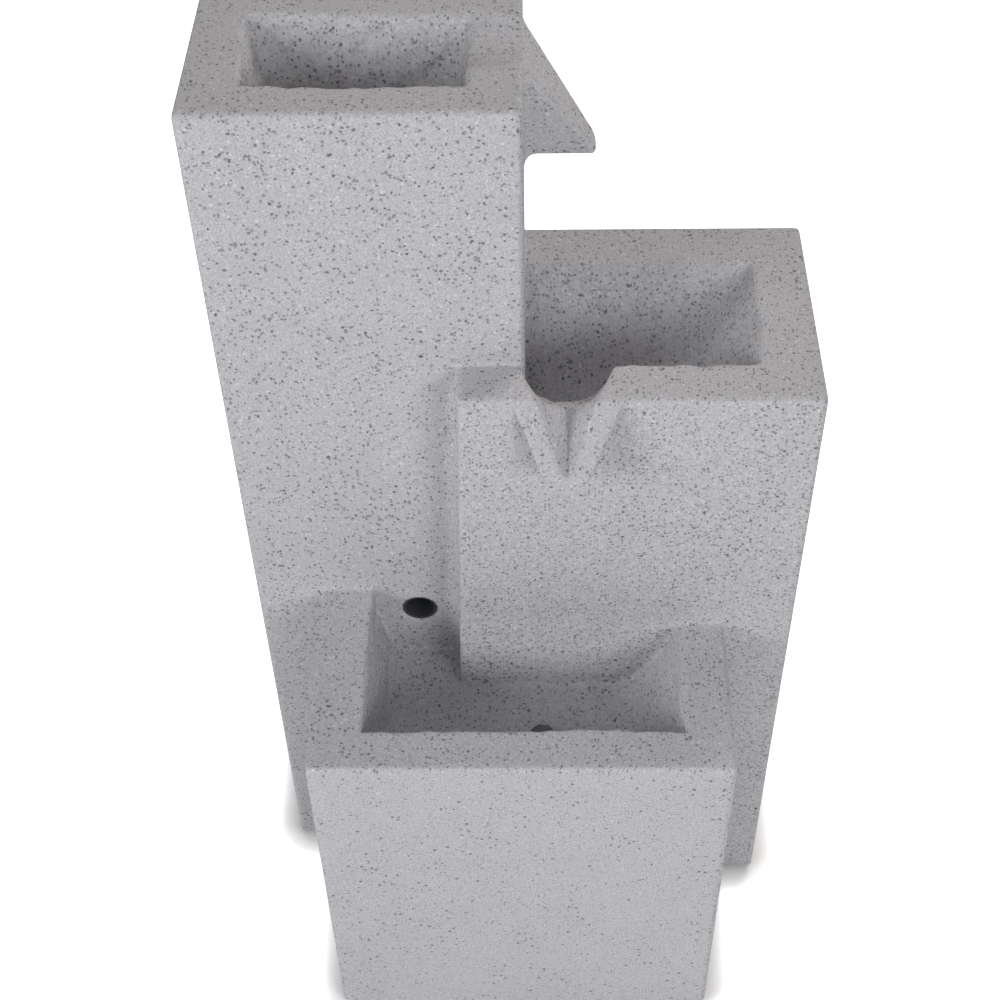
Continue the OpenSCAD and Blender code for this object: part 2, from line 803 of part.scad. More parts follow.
module pump_strainer() {
    slot_pitch = (pump_h - 2 * pump_r) / slots;
    slot_foot = pump_r - pump_h / 2 + slot_pitch / 2 - slot_w / 2;
    color("#232427") translate([volute_face + gap, pump_y, pump_z]) rotate([90, 0, 90])
        difference() {
            linear_extrude(strainer_l)
                soft_rect(-pump_w / 2, -pump_h / 2, pump_w / 2, pump_h / 2, pump_r);
            translate([0, 0, -over]) linear_extrude(strainer_l - strainer_t + over)
                soft_rect(strainer_t - pump_w / 2, strainer_t - pump_h / 2,
                    pump_w / 2 - strainer_t, pump_h / 2 - strainer_t, pump_r - strainer_t);
            for (i = [0:slots - 1])
                translate([pump_r - pump_w / 2, slot_foot + slot_pitch * i, strainer_l / 2])
                    cube([pump_w - 2 * pump_r, slot_w, strainer_l]);
            for (i = [0:slots - 1])
                translate([-pump_w, slot_foot + slot_pitch * i, strainer_l / 4])
                    cube([2 * pump_w, slot_w, strainer_l / 2]);
        }
}

module suction_feet() {
    color("#2b2b2d") for (spot = foot_grid)
        translate([spot[0], spot[1], z_plate + tub_t]) {
            cylinder(d1 = suction_d, d2 = suction_neck_d, h = foot_rise);
            cylinder(d = foot_rise, h = 2 * foot_rise - over);
        }
}

module flow_valve() {
    color("#2c2e32") difference() {
        union() {
            translate([tall_x, pump_y, valve_foot]) cylinder(d = valve_d, h = valve_h);
            translate([tall_x, pump_y, valve_top])
                cylinder(d = barb_d, h = barb_l);
            translate([tall_x, pump_y, valve_z]) rotate([-90, 0, 0])
                cylinder(d = plug_cock_d + 2 * insert_wall + 2 * over, h = knob_y - pump_y - gap);
        }
        translate([tall_x, pump_y, valve_foot - over])
            cylinder(d = nozzle_d + 2 * fit_gap, h = nozzle_top - valve_foot + over + gap);
        translate([tall_x, pump_y, valve_foot])
            cylinder(d = valve_bore, h = valve_h + barb_l + over);
        translate([tall_x, pump_y - plug_cock_d / 2, valve_z]) rotate([-90, 0, 0])
            cylinder(d = plug_cock_d, h = plug_cock_d + knob_y - pump_y);
    }
}

module flow_knob() {
    cock_d = plug_cock_d - 2 * run_gap;
    color("#8f2f2a") translate([tall_x, 0, valve_z]) difference() {
        union() {
            translate([0, pump_y - plug_cock_d / 2 + gap, 0]) rotate([-90, 0, 0])
                cylinder(d = cock_d, h = knob_y - pump_y + plug_cock_d / 2 - gap);
            translate([0, knob_y, 0]) rotate([-90, 0, 0]) cylinder(d = knob_d, h = knob_t / 2);
            translate([-knob_t / 4, knob_y, -knob_d / 2])
                cube([knob_t / 2, knob_t, knob_d]);
        }
        translate([0, pump_y, -plug_cock_d]) cylinder(d = valve_bore, h = 2 * plug_cock_d);
    }
}

// The hose's way along its height: straight, over in a smooth S, and straight again
function hose_y(z) = let(t = (z - swan_foot) / swan_h, u = min(max(t, 0), 1))
    pump_y - hose_shift * (1 - cos(180 * u)) / 2;

// One ring of the hose, square to the height, as points
function hose_ring(r, z) = [for (i = [0:hose_sides - 1])
    [r * cos(i * 360 / hose_sides), hose_y(z) + r * sin(i * 360 / hose_sides), z]];

// Heights of the rings: close together in the S only
hose_levels = concat([hose_foot], [for (i = [0:hose_steps]) swan_foot + swan_h * i / hose_steps],
    [hose_top]);

module riser_hose() {
    rings = len(hose_levels);
    n = hose_sides;
    skins = [for (r = [hose_d / 2, hose_bore / 2], z = hose_levels) each hose_ring(r, z)];
    at = function (skin, ring, i) (skin * rings + ring) * n + i % n;
    outer = [for (k = [0:rings - 2], i = [0:n - 1])
        each [[at(0, k, i), at(0, k + 1, i), at(0, k + 1, i + 1)],
            [at(0, k, i), at(0, k + 1, i + 1), at(0, k, i + 1)]]];
    inner = [for (k = [0:rings - 2], i = [0:n - 1])
        each [[at(1, k, i), at(1, k + 1, i + 1), at(1, k + 1, i)],
            [at(1, k, i), at(1, k, i + 1), at(1, k + 1, i + 1)]]];
    foot = [for (i = [0:n - 1])
        each [[at(0, 0, i), at(0, 0, i + 1), at(1, 0, i + 1)],
            [at(0, 0, i), at(1, 0, i + 1), at(1, 0, i)]]];
    top = [for (i = [0:n - 1])
        each [[at(0, rings - 1, i), at(1, rings - 1, i + 1), at(0, rings - 1, i + 1)],
            [at(0, rings - 1, i), at(1, rings - 1, i), at(1, rings - 1, i + 1)]]];
    color("#cfd3d4") translate([tall_x, 0, 0])
        polyhedron(skins, concat(outer, inner, foot, top));
}

module hose_clips() {
    color("#9c9a92") for (spot = [[pump_y, valve_top + barb_l / 2], [inlet_y, hose_top - barb_l / 2]])
        translate([tall_x, spot[0], spot[1] - clip_h / 2]) difference() {
            union() {
                cylinder(d = hose_d + 2 * fit_gap + 2 * clip_t, h = clip_h);
                translate([hose_d / 2, -clip_ear / 2, 0]) cube([clip_ear, clip_ear, clip_h]);
            }
            translate([0, 0, -over]) cylinder(d = hose_d + 2 * fit_gap, h = clip_h + 2 * over);
        }
}

module inlet_fitting() {
    color("#2c2e32") translate([tall_x, inlet_y, 0]) difference() {
        union() {
            translate([0, 0, tall_floor + washer_t]) cylinder(d = flange_d, h = flange_t);
            translate([0, 0, stem_foot])
                cylinder(d = stem_d, h = tall_floor + washer_t - stem_foot + over);
            translate([0, 0, stem_foot - barb_l])
                cylinder(d = barb_d, h = barb_l + over);
        }
        translate([0, 0, stem_foot - barb_l - over])
            cylinder(d = valve_bore, h = tall_h - stem_foot);
    }
}

module inlet_seal() {
    color("#2b2b2d") translate([tall_x, inlet_y, tall_floor]) difference() {
        cylinder(d = flange_d, h = washer_t);
        translate([0, 0, -over]) cylinder(d = stem_d + 2 * fit_gap, h = washer_t + 2 * over);
    }
}

module inlet_nut() {
    color("#2c2e32") translate([tall_x, inlet_y, tall_ceiling - nut_t]) difference() {
        cylinder(d = nut_d, h = nut_t, $fn = 6);
        translate([0, 0, -over]) cylinder(d = stem_d + 2 * fit_gap, h = nut_t + 2 * over);
    }
}

// The elbow that leads the overflow down into the sump. Its spigot lines the hole
module overflow_elbow() {
    spigot_l = elbow_flange_t + shell_t - spigot_recess;
    color("#3a3c40") translate([overflow_x, elbow_y, overflow_z]) difference() {
        union() {
            rotate([90, 0, 0]) cylinder(d = elbow_flange_d, h = elbow_flange_t);
            rotate([90, 0, 0]) cylinder(d = overflow_d - 2 * fit_gap, h = spigot_l);
            rotate([-90, 0, 0]) translate([0, 0, -over])
                cylinder(d = elbow_bore + 2 * elbow_t + over, h = elbow_r + over);
            translate([0, elbow_r, 0]) sphere(d = overflow_d + 2 * elbow_t);
            translate([0, elbow_r, -elbow_tail])
                cylinder(d = drop_bore + 2 * elbow_t, h = elbow_tail);
        }
        rotate([-90, 0, 0]) translate([0, 0, -spigot_l - over])
            cylinder(d = elbow_bore, h = elbow_r + spigot_l + over);
        translate([0, elbow_r, -elbow_tail - over]) cylinder(d = drop_bore, h = elbow_tail + over);
    }
}

module drain_bush() {
    color("#3a3c40") translate([drain_x, drain_y, bowl_floor - drain_l]) difference() {
        cylinder(d = drain_d, h = drain_l);
        translate([0, 0, -over]) cylinder(d = drain_bore, h = drain_l + 2 * over);
    }
}

module drain_nut() {
    color("#3a3c40") translate([drain_x, drain_y, bowl_seam - drain_nut_t])
        difference() {
            cylinder(d = drain_nut_d, h = drain_nut_t, $fn = 6);
            translate([0, 0, -over])
                cylinder(d = drain_d + 2 * fit_gap, h = drain_nut_t + 2 * over);
        }
}

module drain_tube() {
    color("#cfd3d4") translate([drain_x, drain_y, foot_h]) difference() {
        cylinder(d = drain_bore + 2 * tube_t, h = bowl_floor - drain_l - foot_h);
        translate([0, 0, -over]) cylinder(d = drain_bore, h = bowl_floor);
    }
}

module drain_plug() {
    color("#3b3b3a") translate([drain_x, drain_y, bowl_floor + gap]) {
        cylinder(d = plug_d, h = plug_h / 2);
        translate([0, 0, plug_h / 2])
            cylinder(d1 = plug_d, d2 = plug_d * plug_crown_share, h = plug_h / 2);
        translate([0, 0, -plug_stem_l])
            cylinder(d1 = drain_bore - 4 * gap, d2 = drain_bore - 2 * gap, h = plug_stem_l);
    }
}

tall_column();
tall_basin();
middle_column();
middle_basin();
front_plinth();
front_basin();
base_plate();
base_screws();
foot_pads();
service_door();
door_seal();
door_screws();
door_inserts();
cable_grommet();
sump_tub();
pump_housing();
pump_volute();
pump_impeller();
pump_shaft();
pump_bushings();
filter_sponge();
pump_strainer();
suction_feet();
flow_valve();
flow_knob();
riser_hose();
hose_clips();
inlet_fitting();
inlet_seal();
inlet_nut();
overflow_elbow();
drain_bush();
drain_nut();
drain_tube();
drain_plug();
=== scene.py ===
"""Finish of a stepped cast-stone indoor fountain, built on its CAD frame.

The castings are sculpted as one bonded shell from a distance field, with scooped
basins, spill channels and beaks. The door's thumb screws and the drain plug are turned
from profiles. Every other piece keeps its CAD shape and gets a finish of its own.
"""

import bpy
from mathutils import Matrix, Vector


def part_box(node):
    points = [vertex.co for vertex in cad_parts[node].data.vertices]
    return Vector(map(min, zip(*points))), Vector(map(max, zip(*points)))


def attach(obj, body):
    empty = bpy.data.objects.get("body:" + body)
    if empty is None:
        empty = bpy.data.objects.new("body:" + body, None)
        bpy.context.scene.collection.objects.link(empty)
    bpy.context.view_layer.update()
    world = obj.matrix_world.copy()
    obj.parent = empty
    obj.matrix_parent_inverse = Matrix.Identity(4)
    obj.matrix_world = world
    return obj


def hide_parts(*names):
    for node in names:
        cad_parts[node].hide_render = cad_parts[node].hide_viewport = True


bl_info = {
    "name": "Cascade Fountain Finish",
    "version": (1, 1, 0),
    "blender": (4, 5, 0),
    "location": "3D View > Sidebar > Fountain",
    "description": "Sculpts and finishes a cast-stone cascade fountain on its CAD frame",
    "category": "Object",
}

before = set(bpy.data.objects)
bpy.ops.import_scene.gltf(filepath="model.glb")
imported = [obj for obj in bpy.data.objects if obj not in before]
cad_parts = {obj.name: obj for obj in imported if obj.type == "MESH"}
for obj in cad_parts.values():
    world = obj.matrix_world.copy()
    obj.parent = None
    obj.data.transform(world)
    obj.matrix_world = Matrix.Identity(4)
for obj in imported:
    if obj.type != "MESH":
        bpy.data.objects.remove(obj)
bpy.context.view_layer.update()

import math

import bpy
import numpy as np
from bpy.props import FloatProperty, FloatVectorProperty, PointerProperty
from mathutils import Matrix, Vector

MM = 0.001
FAR = 1.0  # Further out than any piece

# Places that the frame gives
TALL_LOW, TALL_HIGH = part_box("tall_column")
MIDDLE_LOW, MIDDLE_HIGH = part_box("middle_column")
HIGH_BASIN_LOW, HIGH_BASIN_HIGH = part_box("tall_basin")
LOW_BASIN_LOW, LOW_BASIN_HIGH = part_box("middle_basin")
BOWL_LOW, BOWL_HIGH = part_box("front_basin")
PLUG_LOW, PLUG_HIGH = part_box("drain_plug")
INLET_LOW, INLET_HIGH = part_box("inlet_seal")
DOOR_LOW, DOOR_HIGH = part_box("service_door")
SEAL_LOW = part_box("door_seal")[0]
GROMMET_LOW, GROMMET_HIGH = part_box("cable_grommet")
SCREWS_LOW, SCREWS_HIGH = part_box("door_screws")
PLATE_LOW, PLATE_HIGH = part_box("base_plate")
ELBOW_LOW, ELBOW_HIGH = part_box("overflow_elbow")

LEFT, JOINT, RIGHT = TALL_LOW.x, TALL_HIGH.x, MIDDLE_HIGH.x
BACK, Y_TALL, Y_MIDDLE, Y_FRONT = TALL_HIGH.y, TALL_LOW.y, MIDDLE_LOW.y, BOWL_LOW.y
FOOT = TALL_LOW.z
TALL_TOP, MIDDLE_TOP, BOWL_TOP = HIGH_BASIN_HIGH.z, LOW_BASIN_HIGH.z, BOWL_HIGH.z
TALL_SEAM, MIDDLE_SEAM, BOWL_SEAM = HIGH_BASIN_LOW.z, LOW_BASIN_LOW.z, BOWL_LOW.z
BOWL_LEFT, BOWL_RIGHT = BOWL_LOW.x, BOWL_HIGH.x

# Radii of the plumbing's bores through the castings
GROMMET_BORE, INLET_BORE, DRAIN_BORE = 7.1 * MM, 10.1 * MM, 8.1 * MM

# Where the spouts stand, and how far back the clay for the front basin's bay is cut
HIGH_SPOUT_Y, LOW_SPOUT_X, BAY_BACK = BACK - 66 * MM, JOINT + 27 * MM, Y_TALL + 90 * MM

# How deep below the rim a basin's walls turn from steep to flatter
PART_WAY, BOWL_PART_WAY = 38 * MM, 43 * MM

# Fillets: where fresh clay has nothing to meet, at the front basin's bond, inside the hollows, around the
# door's frame, at the overflow hole and at the other holes
FRESH, BOWL_BOND, HOLLOW_R = 1 * MM, 3 * MM, 3 * MM
FRAME_R, OVERFLOW_R, HOLE_R = 2 * MM, 1.2 * MM, 1 * MM

# How far each basin's left, front, right and back stand in from its casting's, in mm, at the rim, part way
# down and at the floor. The middle basin has no left wall, and the front basin no back.
TALL_INSETS = ((31.5, 28.5, 32, 37.5), (40, 30.5, 40, 51), (60, 36, 58, 74))
MIDDLE_INSETS = ((0, 0, 36, 39.5), (0, 2, 60, 52), (0, 7, 92, 74))
BOWL_INSETS = ((37, 33, 33, 0), (40, 34, 47, 0), (48, 37, 68, 0))


# Properties


def length(name, description, default, low=0.0005, high=1.0):
    """A size that a user may change, in metres."""
    return FloatProperty(name=name, description=description, default=default, min=low,
                         max=high, subtype="DISTANCE", unit="LENGTH", precision=4)


def colour(name, description, default):
    """A finish's colour, linear."""
    return FloatVectorProperty(name=name, description=description, default=default,
                               size=3, min=0.0, max=1.0, subtype="COLOR")


def strength(name, description, default):
    """A light's strength."""
    return FloatProperty(name=name, description=description, default=default, min=0.0)


class FountainShape(bpy.types.PropertyGroup):
    """Sizes of the bonded castings."""

    cell: length("Clay cell", "Widest cell of the clay that the castings are cut from", 5 * MM)
    fine: length("Fine cell", "Cell of the clay at rims, spouts and edges", 1.5 * MM)
    edge: length("Edge softness", "Roundness of the outer edges", 4 * MM)
    lip: length("Lip softness", "Roundness of the basins' lips", 2 * MM)
    bond: length("Bond fillet", "Roundness of the filled joint beside the lapping strip", 14 * MM)
    scoop: length("Scoop", "Roundness at the floors of the two upper basins", 30 * MM)
    bowl: length("Bowl corner", "Roundness at the floor of the front basin", 14 * MM)
    wave: length("Waviness", "Height of the hand-worked waves inside the basins", 1.8 * MM, 0.0, 0.01)
    wall: length("Wall", "Thickness of the castings", 9 * MM)
    lap: length("Lap width", "Width of the lapping strip at its top", 43 * MM)
    lap_lean: length("Lap lean", "How much wider the lapping strip is at its foot", 14 * MM)
    overflow: length("Overflow hole", "Diameter of the overflow hole", 26 * MM)


class FountainColours(bpy.types.PropertyGroup):
    """Colours of the finishes."""

    stone: colour("Stone", "Ground colour of the cast stone", (0.56, 0.555, 0.585))
    chip: colour("Chips", "Colour of the dark chips in the stone", (0.06, 0.06, 0.068))
    fleck: colour("Flecks", "Colour of the pale flecks in the stone", (0.74, 0.74, 0.75))
    rubber: colour("Rubber", "Colour of the rubber pieces", (0.022, 0.022, 0.024))
    plug: colour("Plug", "Colour of the drain plug", (0.11, 0.11, 0.108))
    tub: colour("Tub", "Colour of the moulded tub and pipes", (0.045, 0.048, 0.055))
    pump: colour("Pump", "Colour of the pump's mouldings", (0.018, 0.019, 0.022))
    rotor: colour("Rotor", "Colour of the impeller", (0.70, 0.69, 0.66))
    knob: colour("Knob", "Colour of the flow knob", (0.29, 0.03, 0.025))
    foam: colour("Foam", "Colour of the filter foam", (0.05, 0.075, 0.10))
    tube: colour("Tube", "Colour of the flexible tubes", (0.62, 0.66, 0.67))
    board: colour("Board", "Colour of the base board", (0.12, 0.12, 0.125))


class FountainStage(bpy.types.PropertyGroup):
    """Light and floor."""

    left: strength("Left box", "Strength of the left soft box", 23.0)
    right: strength("Right box", "Strength of the right soft box", 21.0)
    rear: strength("Rear box", "Strength of the box behind, which lights the rims", 24.0)
    low: strength("Low box", "Strength of the small box in front of the lowest basin", 3.8)
    top: strength("Top panel", "Strength of the overhead panel", 4.0)
    sky: strength("Room light", "Strength of the even room light", 0.05)
    paper: strength("Paper", "How far the paper is lifted to white for the camera", 1.0)
    contact: length("Contact shadow", "How far the shadow under the foot spreads", 28 * MM)


# Clay


def soft_min(a, b, k):
    """The union of two distance fields, with a fillet."""
    h = np.maximum(k - np.abs(a - b), 0) / k
    return np.minimum(a, b) - h * h * k * 0.25


def soft_max(a, b, k):
    """The overlap of two distance fields, with a rounded edge."""
    return -soft_min(-a, -b, k)


def marks(low, high, cell, zones):
    """Marks along an axis: as close together as each zone asks, and one cell apart elsewhere."""
    out = [low]
    while out[-1] < high:
        here = out[-1]
        out.append(here + min([step for start, end, step in zones if start <= here < end], default=cell))
    return np.array(out, np.float32)


class Clay:
    """A block of space that holds the distance to a form, mark by mark."""

    def __init__(self, axes, spot=None):
        self.axes = axes
        self.spot = spot
        self.field = np.full([len(a) for a in axes], FAR, np.float32)

    def cut_out(self, low, high):
        """The slices of a box."""
        out = []
        for axis, lo, hi in zip(self.axes, low, high):
            start = max(int(np.searchsorted(axis, lo)) - 1, 0)
            stop = min(int(np.searchsorted(axis, hi)) + 1, len(axis))
            out.append(slice(start, stop))
        return tuple(out)

    def lump(self, low, high):
        """Fresh clay over a part of this block."""
        spot = self.cut_out(low, high)
        return Clay([a[s] for a, s in zip(self.axes, spot)], spot)

    def places(self, spot):
        """The coordinates of some slices, ready to broadcast."""
        x, y, z = (axis[s] for axis, s in zip(self.axes, spot))
        return x[:, None, None], y[None, :, None], z[None, None, :]

    def reach(self, box):
        """A box's slices, or the whole block's."""
        return self.cut_out(*box) if box else tuple(slice(0, len(a)) for a in self.axes)

    def add(self, form, k, box=None):
        """Adds a form with a fillet."""
        spot = self.reach(box)
        self.field[spot] = soft_min(self.field[spot], form(*self.places(spot)), k)

    def cut(self, form, k, box=None):
        """Cuts a form away with a rounded edge."""
        spot = self.reach(box)
        self.field[spot] = soft_max(self.field[spot], -form(*self.places(spot)), k)

    def join(self, lump, k):
        """Bonds a lump that was made over a part of this block."""
        self.field[lump.spot] = soft_min(self.field[lump.spot], lump.field, k)

    def trim(self, form):
        """Keeps what is inside a form, with a plain edge."""
        spot = self.reach(None)
        np.maximum(self.field, form(*self.places(spot)), out=self.field)

    def skin(self):
        """The vertices and four-sided faces of the surface. Each cell that it crosses holds a vertex, at the
        mean of the places where it crosses the cell's edges, and each crossed edge has a face around it."""
        f = self.field
        shape = np.array(f.shape)
        spots, cells, turns = [], [], []
        for axis in range(3):
            near = f.take(range(shape[axis] - 1), axis)
            far = f.take(range(1, shape[axis]), axis)
            at = np.argwhere((near < 0) != (far < 0))
            a = near[tuple(at.T)].astype(np.float64)
            b = far[tuple(at.T)].astype(np.float64)
            spot = at.astype(np.float64)
            spot[:, axis] += a / (a - b)
            one, two = (axis + 1) % 3, (axis + 2) % 3
            ring = np.zeros((4, 3), int)
            ring[:, one] = [-1, 0, 0, -1]
            ring[:, two] = [-1, -1, 0, 0]
            around = at[:, None, :] + ring
            cells.append(np.ravel_multi_index(tuple(np.moveaxis(around, 2, 0)), tuple(shape)))
            spots.append(np.repeat(spot, 4, 0))
            turns.append(a < 0)
        cells = np.concatenate(cells)
        spots = np.concatenate(spots)
        turns = np.concatenate(turns)
        _, index = np.unique(cells, return_inverse=True)
        index = index.reshape(-1)
        count = np.bincount(index)
        verts = []
        for i, axis in enumerate(self.axes):
            mean = np.bincount(index, spots[:, i]) / count
            verts.append(np.interp(mean, np.arange(len(axis)), axis))
        quads = index.reshape(-1, 4)
        quads = np.where(turns[:, None], quads, quads[:, ::-1])
        return np.stack(verts, 1), quads


def block(low, high, k):
    """A box with rounded edges."""
    mid = [(a + b) / 2 for a, b in zip(low, high)]
    half = [(b - a) / 2 for a, b in zip(low, high)]

    def form(x, y, z):
        side = soft_max(np.abs(x - mid[0]) - half[0], np.abs(y - mid[1]) - half[1], k)
        return soft_max(side, np.abs(z - mid[2]) - half[2], k)

    return form


def upright(x0, y0, r, z0, z1):
    """An upright rod."""
    return lambda x, y, z: np.maximum(np.hypot(x - x0, y - y0) - r, np.maximum(z0 - z, z - z1))


def level_rod(x0, z0, r, y0, y1):
    """A rod that runs from front to back."""
    return lambda x, y, z: np.maximum(np.hypot(x - x0, z - z0) - r, np.maximum(y0 - y, y - y1))


def plane(point, normal):
    """A half space: its distance grows along the normal."""
    n = np.array(normal, float)
    n = n / np.linalg.norm(n)
    d = float(n @ np.array(point, float))
    a, b, c = (float(v) for v in n)
    return lambda x, y, z: a * x + b * y + c * z - d


def between(value, low, high):
    """0 below low, 1 above high and straight between."""
    return np.clip((value - low) / (high - low), 0, 1)


# Waves of the hand-worked unevenness: radians per metre along x, y and z, shift and height
WAVES = ((61, 23, 37, 1.3, 0.5), (-31, 52, 71, 4.1, 0.5), (190, 120, -160, 0.4, 0.2),
         (-230, 90, 210, 2.0, 0.2), (380, 60, -300, 1.1, 0.22), (-290, 150, 420, 5.2, 0.22),
         (610, 90, 480, 3.3, 0.13))


def ripple(x, y, z):
    """A smooth unevenness between about -1 and 1."""
    return sum(h * np.sin(a * x + b * y + c * z + shift) for a, b, c, shift, h in WAVES)


def drawn_in(left, front, right, back, insets):
    """A basin's left, front, right and back at each level, from its casting's and the insets."""
    return [(left + a * MM, front + b * MM, right - c * MM, back - d * MM) for a, b, c, d in insets]


def scoop(rows, levels, lip, deep, wave, sides=(1, 1, 1, 1)):
    """A basin's hollow, steep below the rim and flatter towards the floor. The rows hold its left, front,
    right and back at the three levels. Its corners are sharp at the rim and widen downwards."""
    rim, middle, floor = rows
    walls = []
    for i, sign in enumerate((-1, -1, 1, 1)):
        if not sides[i]:
            continue
        for w0, z0, w1, z1 in ((rim[i], levels[0], middle[i], levels[1]),
                               (middle[i], levels[1], floor[i], levels[2])):
            normal = [0.0, 0.0, -(w0 - w1) * sign / (z0 - z1)]
            normal[i % 2] = float(sign)
            point = [0.0, 0.0, z0]
            point[i % 2] = w0
            walls.append(plane(point, normal))
    walls.append(plane((0, 0, levels[2]), (0, 0, -1)))

    def form(x, y, z):
        k = lip + (deep - lip) * between(levels[0] - z, 0, levels[0] - levels[2])
        out = walls[0](x, y, z)
        for wall in walls[1:]:
            out = soft_max(out, wall(x, y, z), k)
        return out + wave * ripple(x, y, z)

    return form


class Spout:
    """A channel through a rim, and the beak that it spills from. Its places are across, out from the wall's
    face and up from the rim.

    root and out say where it stands and which way it points. The beak has a reach, a drop, the height of
    its lip, and half widths at its root and tip. The channel has a half width and the depth of its sill,
    and over its way back it flares and falls. The trough has a depth at its start, and at its end a place,
    a half width and a depth. bend says how square the sections of channel and trough are, and crest how far
    behind the wall's face the trough starts."""

    def __init__(self, root, out, reach, drop, lip, root_half, tip_half, half, sill, flare, back, fall,
                 start, end, bend, crest):
        self.root, self.out = root, out
        self.reach, self.drop, self.lip_drop = reach, drop, drop - lip
        self.root_half, self.tip_half = root_half, tip_half
        self.half, self.sill, self.flare, self.back, self.fall = half, sill, flare, back, fall
        self.start, (self.end, self.end_half, self.end_deep) = start, end
        self.bend, self.crest = bend, crest

    def local(self, x, y, z):
        """Places across, out and up, from places in the frame."""
        dx, dy = x - self.root[0], y - self.root[1]
        ox, oy = self.out
        return dy * ox - dx * oy, dx * ox + dy * oy, z - self.root[2]

    def beak(self, k):
        """The solid wedge under the trough."""
        lean = (self.root_half - self.tip_half) / self.drop

        def form(x, y, z):
            s, o, u = self.local(x, y, z)
            top = (o * self.lip_drop + u * self.reach) / math.hypot(self.reach, self.lip_drop)
            side = (np.abs(s) - self.root_half - lean * u) / math.hypot(1, lean)
            under = -u - self.drop
            out = soft_max(soft_max(top, side, k), under, k)
            out = soft_max(out, o - self.reach, k)
            return np.maximum(np.maximum(out, u), -o - self.back / 2)

        return form

    def channel(self, x, y, z):
        """What the water runs through across the rim."""
        overrun = 6 * MM
        s, o, u = self.local(x, y, z)
        t = between(-o, 0, self.back)
        w = self.half + self.flare * t
        deep = self.sill + self.fall * t
        p = self.bend[0]
        share = np.abs(s) / w
        slope = deep * p / w * share ** (p - 1)
        floor = -deep * (1 - share ** p)
        return np.maximum((floor - u) / np.sqrt(1 + slope * slope), -o - self.back - overrun)

    def trough(self, x, y, z):
        """What the water runs down along the beak, which opens out before the tip."""
        lift, brim = 0.25, 1.3
        s, o, u = self.local(x, y, z)
        t = between(o, 0, self.end)
        w = self.half + (self.end_half - self.half) * t
        top = -self.lip_drop * t * self.end / self.reach
        deep = (self.start + (self.end_deep - self.start) * t) * (1 - lift * between(-o, 0, self.crest))
        p = self.bend[1]
        share = np.minimum(np.abs(s) / w, brim)
        floor = top - deep * (1 - share ** p)
        slope = deep * p / w * share ** (p - 1)
        steep = (self.lip_drop / self.reach) * (t > 0)
        return np.maximum((floor - u) / np.sqrt(1 + slope * slope + steep * steep), -o - self.crest)


# Meshes


def mesh_object(name, verts, faces, body):
    """A new piece from places and equal-sided faces. It rides on a body."""
    me = bpy.data.meshes.new(name)
    verts, faces = np.asarray(verts, np.float32), np.asarray(faces, np.int32)
    sides = faces.shape[1]
    me.vertices.add(len(verts))
    me.vertices.foreach_set("co", verts.ravel())
    me.loops.add(faces.size)
    me.loops.foreach_set("vertex_index", faces.ravel())
    me.polygons.add(len(faces))
    me.polygons.foreach_set("loop_start", np.arange(0, faces.size, sides, dtype=np.int32))
    me.update(calc_edges=True)
    me.validate()
    ob = bpy.data.objects.new(name, me)
    bpy.context.scene.collection.objects.link(ob)
    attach(ob, body)
    return ob


def apply_modifiers(ob):
    """Bakes an object's modifiers into its mesh."""
    graph = bpy.context.evaluated_depsgraph_get()
    made = bpy.data.meshes.new_from_object(ob.evaluated_get(graph))
    old = ob.data
    ob.modifiers.clear()
    ob.data = made
    bpy.data.meshes.remove(old)
    made.name = ob.name


def smooth(ob):
    """Shades a piece's faces smooth."""
    ob.data.polygons.foreach_set("use_smooth", [True] * len(ob.data.polygons))


def turned(profile, steps, place, axis="Z", teeth=0, bite=0.0):
    """The places and quads of a piece turned from (radius, height, toothed) points."""
    angle = np.arange(steps) * 2 * math.pi / steps
    verts = []
    for radius, height, toothed in profile:
        r = radius - bite * toothed * (0.5 - 0.5 * np.cos(teeth * angle))
        ring = [r * np.cos(angle), r * np.sin(angle), np.full(steps, height)]
        if axis == "Y":
            ring = [ring[0], ring[2], -ring[1]]
        verts.append(np.stack(ring, 1) + place)
    rows = np.arange(len(profile) - 1)[:, None] * steps
    near = np.arange(steps)[None, :]
    far = (near + 1) % steps
    quads = np.stack([rows + near, rows + far, rows + steps + far, rows + steps + near], 2)
    return np.concatenate(verts), quads.reshape(-1, 4)


def dress(nodes, material, soft=0.0):
    """Gives CAD nodes a finish, and slightly broken edges where soft says so."""
    for name in nodes:
        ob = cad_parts[name]
        ob.data.materials.clear()
        ob.data.materials.append(material)
        if soft:
            weld = ob.modifiers.new("Weld", "WELD")
            weld.merge_threshold = 0.01 * MM
            bevel = ob.modifiers.new("Broken edges", "BEVEL")
            bevel.width, bevel.segments = soft, 2
            bevel.limit_method, bevel.angle_limit = "ANGLE", math.radians(40)
            bevel.harden_normals = False
            even = ob.modifiers.new("Even shading", "WEIGHTED_NORMAL")
            even.weight = 60


# Castings


